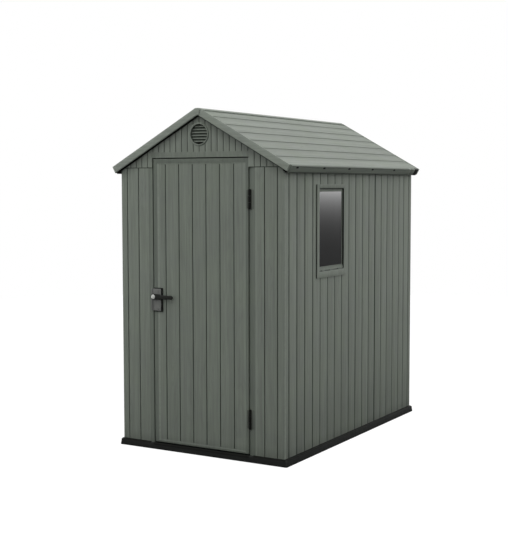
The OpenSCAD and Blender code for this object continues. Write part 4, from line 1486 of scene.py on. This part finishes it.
MATS = {
    "wall": resin("resin_wall", GREEN, "z"),
    # lit and shaded copies of the same resin: the front panels, gable, side walls, ridge and fascia differ in
    # brightness as painted light and shade; the front panels and gable also carry painted shade under the rakes, and
    # the side walls more painted shade towards the ground
    "wall_right": resin("resin_wall_right_shaded", shade_of(0.945), "z", under=True),
    "wall_left": resin("resin_wall_left_shaded", shade_of(0.985), "z", under=True),
    "gable": resin("resin_gable_lit", shade_of(1.035), "z", under=True),
    "side": resin("resin_side", shade_of(0.985), "z", foot=(0.84, 0.88)),
    "roof": resin("resin_roof", shade_of(1.0, 0.99), "y"),
    "ridge": resin("resin_ridge_lit", shade_of(1.1, 0.99), "y", tone_amp=0.02),
    "trim": resin("resin_trim", shade_of(1.28, 0.99, 1.01), "x", tone_amp=0.02),
    "fascia": resin("resin_fascia_shaded", shade_of(0.795, 1.01), "y", tone_amp=0.02),
    "sleeve": resin("resin_sleeve", shade_of(0.72), "y", tone_amp=0.02),
    "collar": resin("resin_collar", shade_of(1.2), "y", tone_amp=0.02),
    "plate": resin("resin_plate", shade_of(0.58), "z", tone_amp=0.02),
    "dark": resin("resin_dark", shade_of(0.46), "z", spec=0.15, tone_amp=0.02),
    "inner": resin("resin_stop", shade_of(0.8), "z", tone_amp=0.02),
    "base": moulded("moulded_base", (0.0128, 0.0142, 0.0133), (0.5, 0.7), 0.11, 1.6),
    "black": moulded("moulded_black", (0.0078, 0.0086, 0.0074), (0.4, 0.58), 0.07),
    "grey": moulded("moulded_grey", (0.136, 0.144, 0.138), (0.4, 0.58), 0.35, 1.0, 1.4),
    "lever": moulded("moulded_lever", (0.019, 0.0205, 0.0185), (0.4, 0.58), 0.10),
    "metal": metal("plated_lock"),
    "pane": acrylic("smoked_acrylic"),
}


def paint(ob, key):
    ob.data.materials.clear()
    ob.data.materials.append(MATS[key])


BY_NAME = {
    "front_wall_right": "wall_right", "front_wall_left": "wall_left", "gable_front": "gable", "gable_back": "gable",
    "roof_planks_right": "roof", "roof_planks_left": "roof", "ridge_strip": "ridge",
    "fascia_right": "fascia", "fascia_left": "fascia", "fascia_sleeve_right": "sleeve", "fascia_sleeve_left": "sleeve",
    "fascia_shade_stop_right": "black", "fascia_shade_stop_left": "black", "leaf_plate_lower": "plate", "leaf_plate_upper": "plate",
    "door_plate_lower": "dark", "door_plate_upper": "dark",
    "fascia_cap_right": "fascia", "fascia_cap_left": "fascia", "fascia_collar_right": "collar", "fascia_collar_left": "collar", "threshold_shade_strip": "black", "foot_shade_bead": "black", "rake_shade_tongue_front": "black", "rake_shade_tongue_back": "black",
    "rake_shade_strip_front": "black", "rake_shade_strip_back": "black", "window_seal": "black", "window_shade_liner": "black", "latch_shade_backing": "black", "floor_moulding": "base",
    "window_glazing": "pane", "latch_body": "grey", "latch_strike": "grey",
    "latch_handle": "lever", "lock_face": "metal", "fascia_plugs": "black",
}
for ob, body, slot, nodes in pieces:
    key = BY_NAME.get(ob.name) or ("trim" if ob.name.startswith("trim_") else "side" if ob.name.startswith("side_") else "black" if ob.name.startswith("hinge") else "wall")
    paint(ob, key)
    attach(ob, body)
    if nodes:
        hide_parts(*nodes)

# CAD nodes that stay: the stops behind the door
for n in ("door_post_left", "door_post_right", "door_header"):
    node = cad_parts[n]
    plain_marks(node, 0.4)
    for i in range(max(len(node.data.materials), 1)):
        if node.material_slots:
            node.material_slots[i].material = MATS["inner"]
        else:
            node.data.materials.append(MATS["inner"])

# ------------------------------------------------------ floor, light, view

bm = bmesh.new()
disk = [bm.verts.new((9000 * math.cos(2 * math.pi * k / 96), 9000 * math.sin(2 * math.pi * k / 96), -0.5)) for k in range(96)]
bm.faces.new(disk)
floor = to_object(bm, "studio_floor")
# The floor looks white to the camera. It gives the shed little light from
# close by, and more from further out, as a lit studio floor does.
m = Nodes("pale_floor")
lp = m.node("ShaderNodeLightPath")
shadow = m.node("ShaderNodeBsdfDiffuse")
m.link(m.mix(m.noise(m.scaled((1, 1, 1)), 2.2, 4.0), (0.105, 0.105, 0.105), (0.115, 0.115, 0.115)), shadow.inputs[0])
seen = m.node("ShaderNodeEmission")
seen.inputs[0].default_value = (1, 1, 1, 1)
seen.inputs[1].default_value = 0.95
both = m.node("ShaderNodeAddShader")
m.link(shadow.outputs[0], both.inputs[0])
m.link(seen.outputs[0], both.inputs[1])
far = m.node("ShaderNodeVectorMath", operation="LENGTH")
m.link(m.obj, far.inputs[0])
glow = m.node("ShaderNodeEmission")
m.link(m.remap(far.outputs["Value"], 1.7, 4.2, 0.0, 0.25, True), glow.inputs[1])
pick = m.node("ShaderNodeMixShader")
m.link(lp.outputs["Is Camera Ray"], pick.inputs[0])
m.link(glow.outputs[0], pick.inputs[1])
m.link(both.outputs[0], pick.inputs[2])
m.link(pick.outputs[0], m.out.inputs[0])
m.t.nodes.remove(m.bsdf)
floor.data.materials.append(m.mat)


class Sky:
    """The studio round the shed: brightness by direction, as four soft
    lobes (front, right, back, left) at three heights, with a bright line
    along the horizon that falls off below it."""

    def __init__(self):
        self.w = bpy.data.worlds.new("studio")
        bpy.context.scene.world = self.w
        self.w.use_nodes = True
        self.t = self.w.node_tree
        self.t.nodes.clear()

    def node(self, kind, **props):
        n = self.t.nodes.new(kind)
        for k, v in props.items():
            setattr(n, k, v)
        return n

    def math(self, op, a, b=0.0):
        n = self.node("ShaderNodeMath", operation=op)
        for i, v in enumerate((a, b)):
            if isinstance(v, (int, float)):
                n.inputs[i].default_value = v
            else:
                self.t.links.new(v, n.inputs[i])
        return n.outputs[0]


LOBES = {"F": (0.82, 1.05, 1.50), "R": (1.00, 1.33, 1.65), "B": (1.30, 1.79, 1.95), "L": (1.12, 1.47, 1.75)}
sky = Sky()
tc = sky.node("ShaderNodeTexCoord")
sep = sky.node("ShaderNodeSeparateXYZ")
sky.t.links.new(tc.outputs["Generated"], sep.inputs[0])
dx, dy, dz = sep.outputs
flat = sky.math("SQRT", sky.math("MAXIMUM", sky.math("ADD", sky.math("MULTIPLY", dx, dx), sky.math("MULTIPLY", dy, dy)), 1e-6))
low = sky.math("MAXIMUM", sky.math("SUBTRACT", 1.0, sky.math("MULTIPLY", dz, 2.0)), 0.0)
high = sky.math("MAXIMUM", sky.math("SUBTRACT", sky.math("MULTIPLY", dz, 2.0), 1.0), 0.0)
mid = sky.math("SUBTRACT", sky.math("SUBTRACT", 1.0, low), high)
total = None
for side, (axis, sign) in {"F": (dy, -1.0), "R": (dx, 1.0), "B": (dy, 1.0), "L": (dx, -1.0)}.items():
    c = sky.math("MAXIMUM", sky.math("MULTIPLY", sky.math("DIVIDE", axis, flat), sign), 0.0)
    c = sky.math("MULTIPLY", c, c)
    amount = None
    for band, k in zip((low, mid, high), LOBES[side]):
        part = sky.math("MULTIPLY", band, k)
        amount = part if amount is None else sky.math("ADD", amount, part)
    part = sky.math("MULTIPLY", c, amount)
    total = part if total is None else sky.math("ADD", total, part)
up = sky.math("GREATER_THAN", dz, 0.0)
down = sky.math("SUBTRACT", 1.0, up)
# the bright line fades quickly below the horizon, and a little slower above it
below = sky.math("MULTIPLY", sky.math("EXPONENT", sky.math("DIVIDE", dz, 0.0126)), 6.3)
below = sky.math("ADD", sky.math("MINIMUM", below, 6.3), 0.19)
above = sky.math("MULTIPLY", sky.math("EXPONENT", sky.math("DIVIDE", dz, -0.02)), 3.6)
total = sky.math("ADD", total, sky.math("MINIMUM", above, 3.6))
total = sky.math("ADD", sky.math("MULTIPLY", total, up), sky.math("MULTIPLY", below, down))
bg = sky.node("ShaderNodeBackground")
sky.t.links.new(total, bg.inputs[1])
white = sky.node("ShaderNodeBackground")
white.inputs[0].default_value = (1, 1, 1, 1)
white.inputs[1].default_value = 1.0
lpw = sky.node("ShaderNodeLightPath")
pick = sky.node("ShaderNodeMixShader")
sky.t.links.new(lpw.outputs["Is Camera Ray"], pick.inputs[0])
sky.t.links.new(bg.outputs[0], pick.inputs[1])
sky.t.links.new(white.outputs[0], pick.inputs[2])
out = sky.node("ShaderNodeOutputWorld")
sky.t.links.new(pick.outputs[0], out.inputs[0])


def area(name, loc, target, size, power):
    light = bpy.data.lights.new(name, "AREA")
    light.shape = "DISK"
    light.size = size
    light.energy = power
    ob = bpy.data.objects.new(name, light)
    ob.location = loc
    ob.rotation_euler = (Vector(target) - Vector(loc)).to_track_quat("-Z", "Y").to_euler()
    bpy.context.scene.collection.objects.link(ob)
    return ob


area("key", (-3.0, -4.5, 5.2), (0, 0, 1.0), 2.6, 36.0)

cam_data = bpy.data.cameras.new("camera")
cam = bpy.data.objects.new("camera", cam_data)
bpy.context.scene.collection.objects.link(cam)
cam.location = (3.617553, -6.280388, 1.606354)
cam.rotation_euler = (math.radians(90 - 4.21281), 0.0, math.radians(29.60961))
cam_data.sensor_width = 36.0
cam_data.lens = 1102.268 * 36.0 / 559.0
cam_data.shift_x = -(282.7992 - 254.0) / 559.0
cam_data.shift_y = -(279.5 - 265.7355) / 559.0
cam_data.clip_end = 100.0
bpy.context.scene.camera = cam
bpy.context.scene.view_settings.view_transform = "Standard"
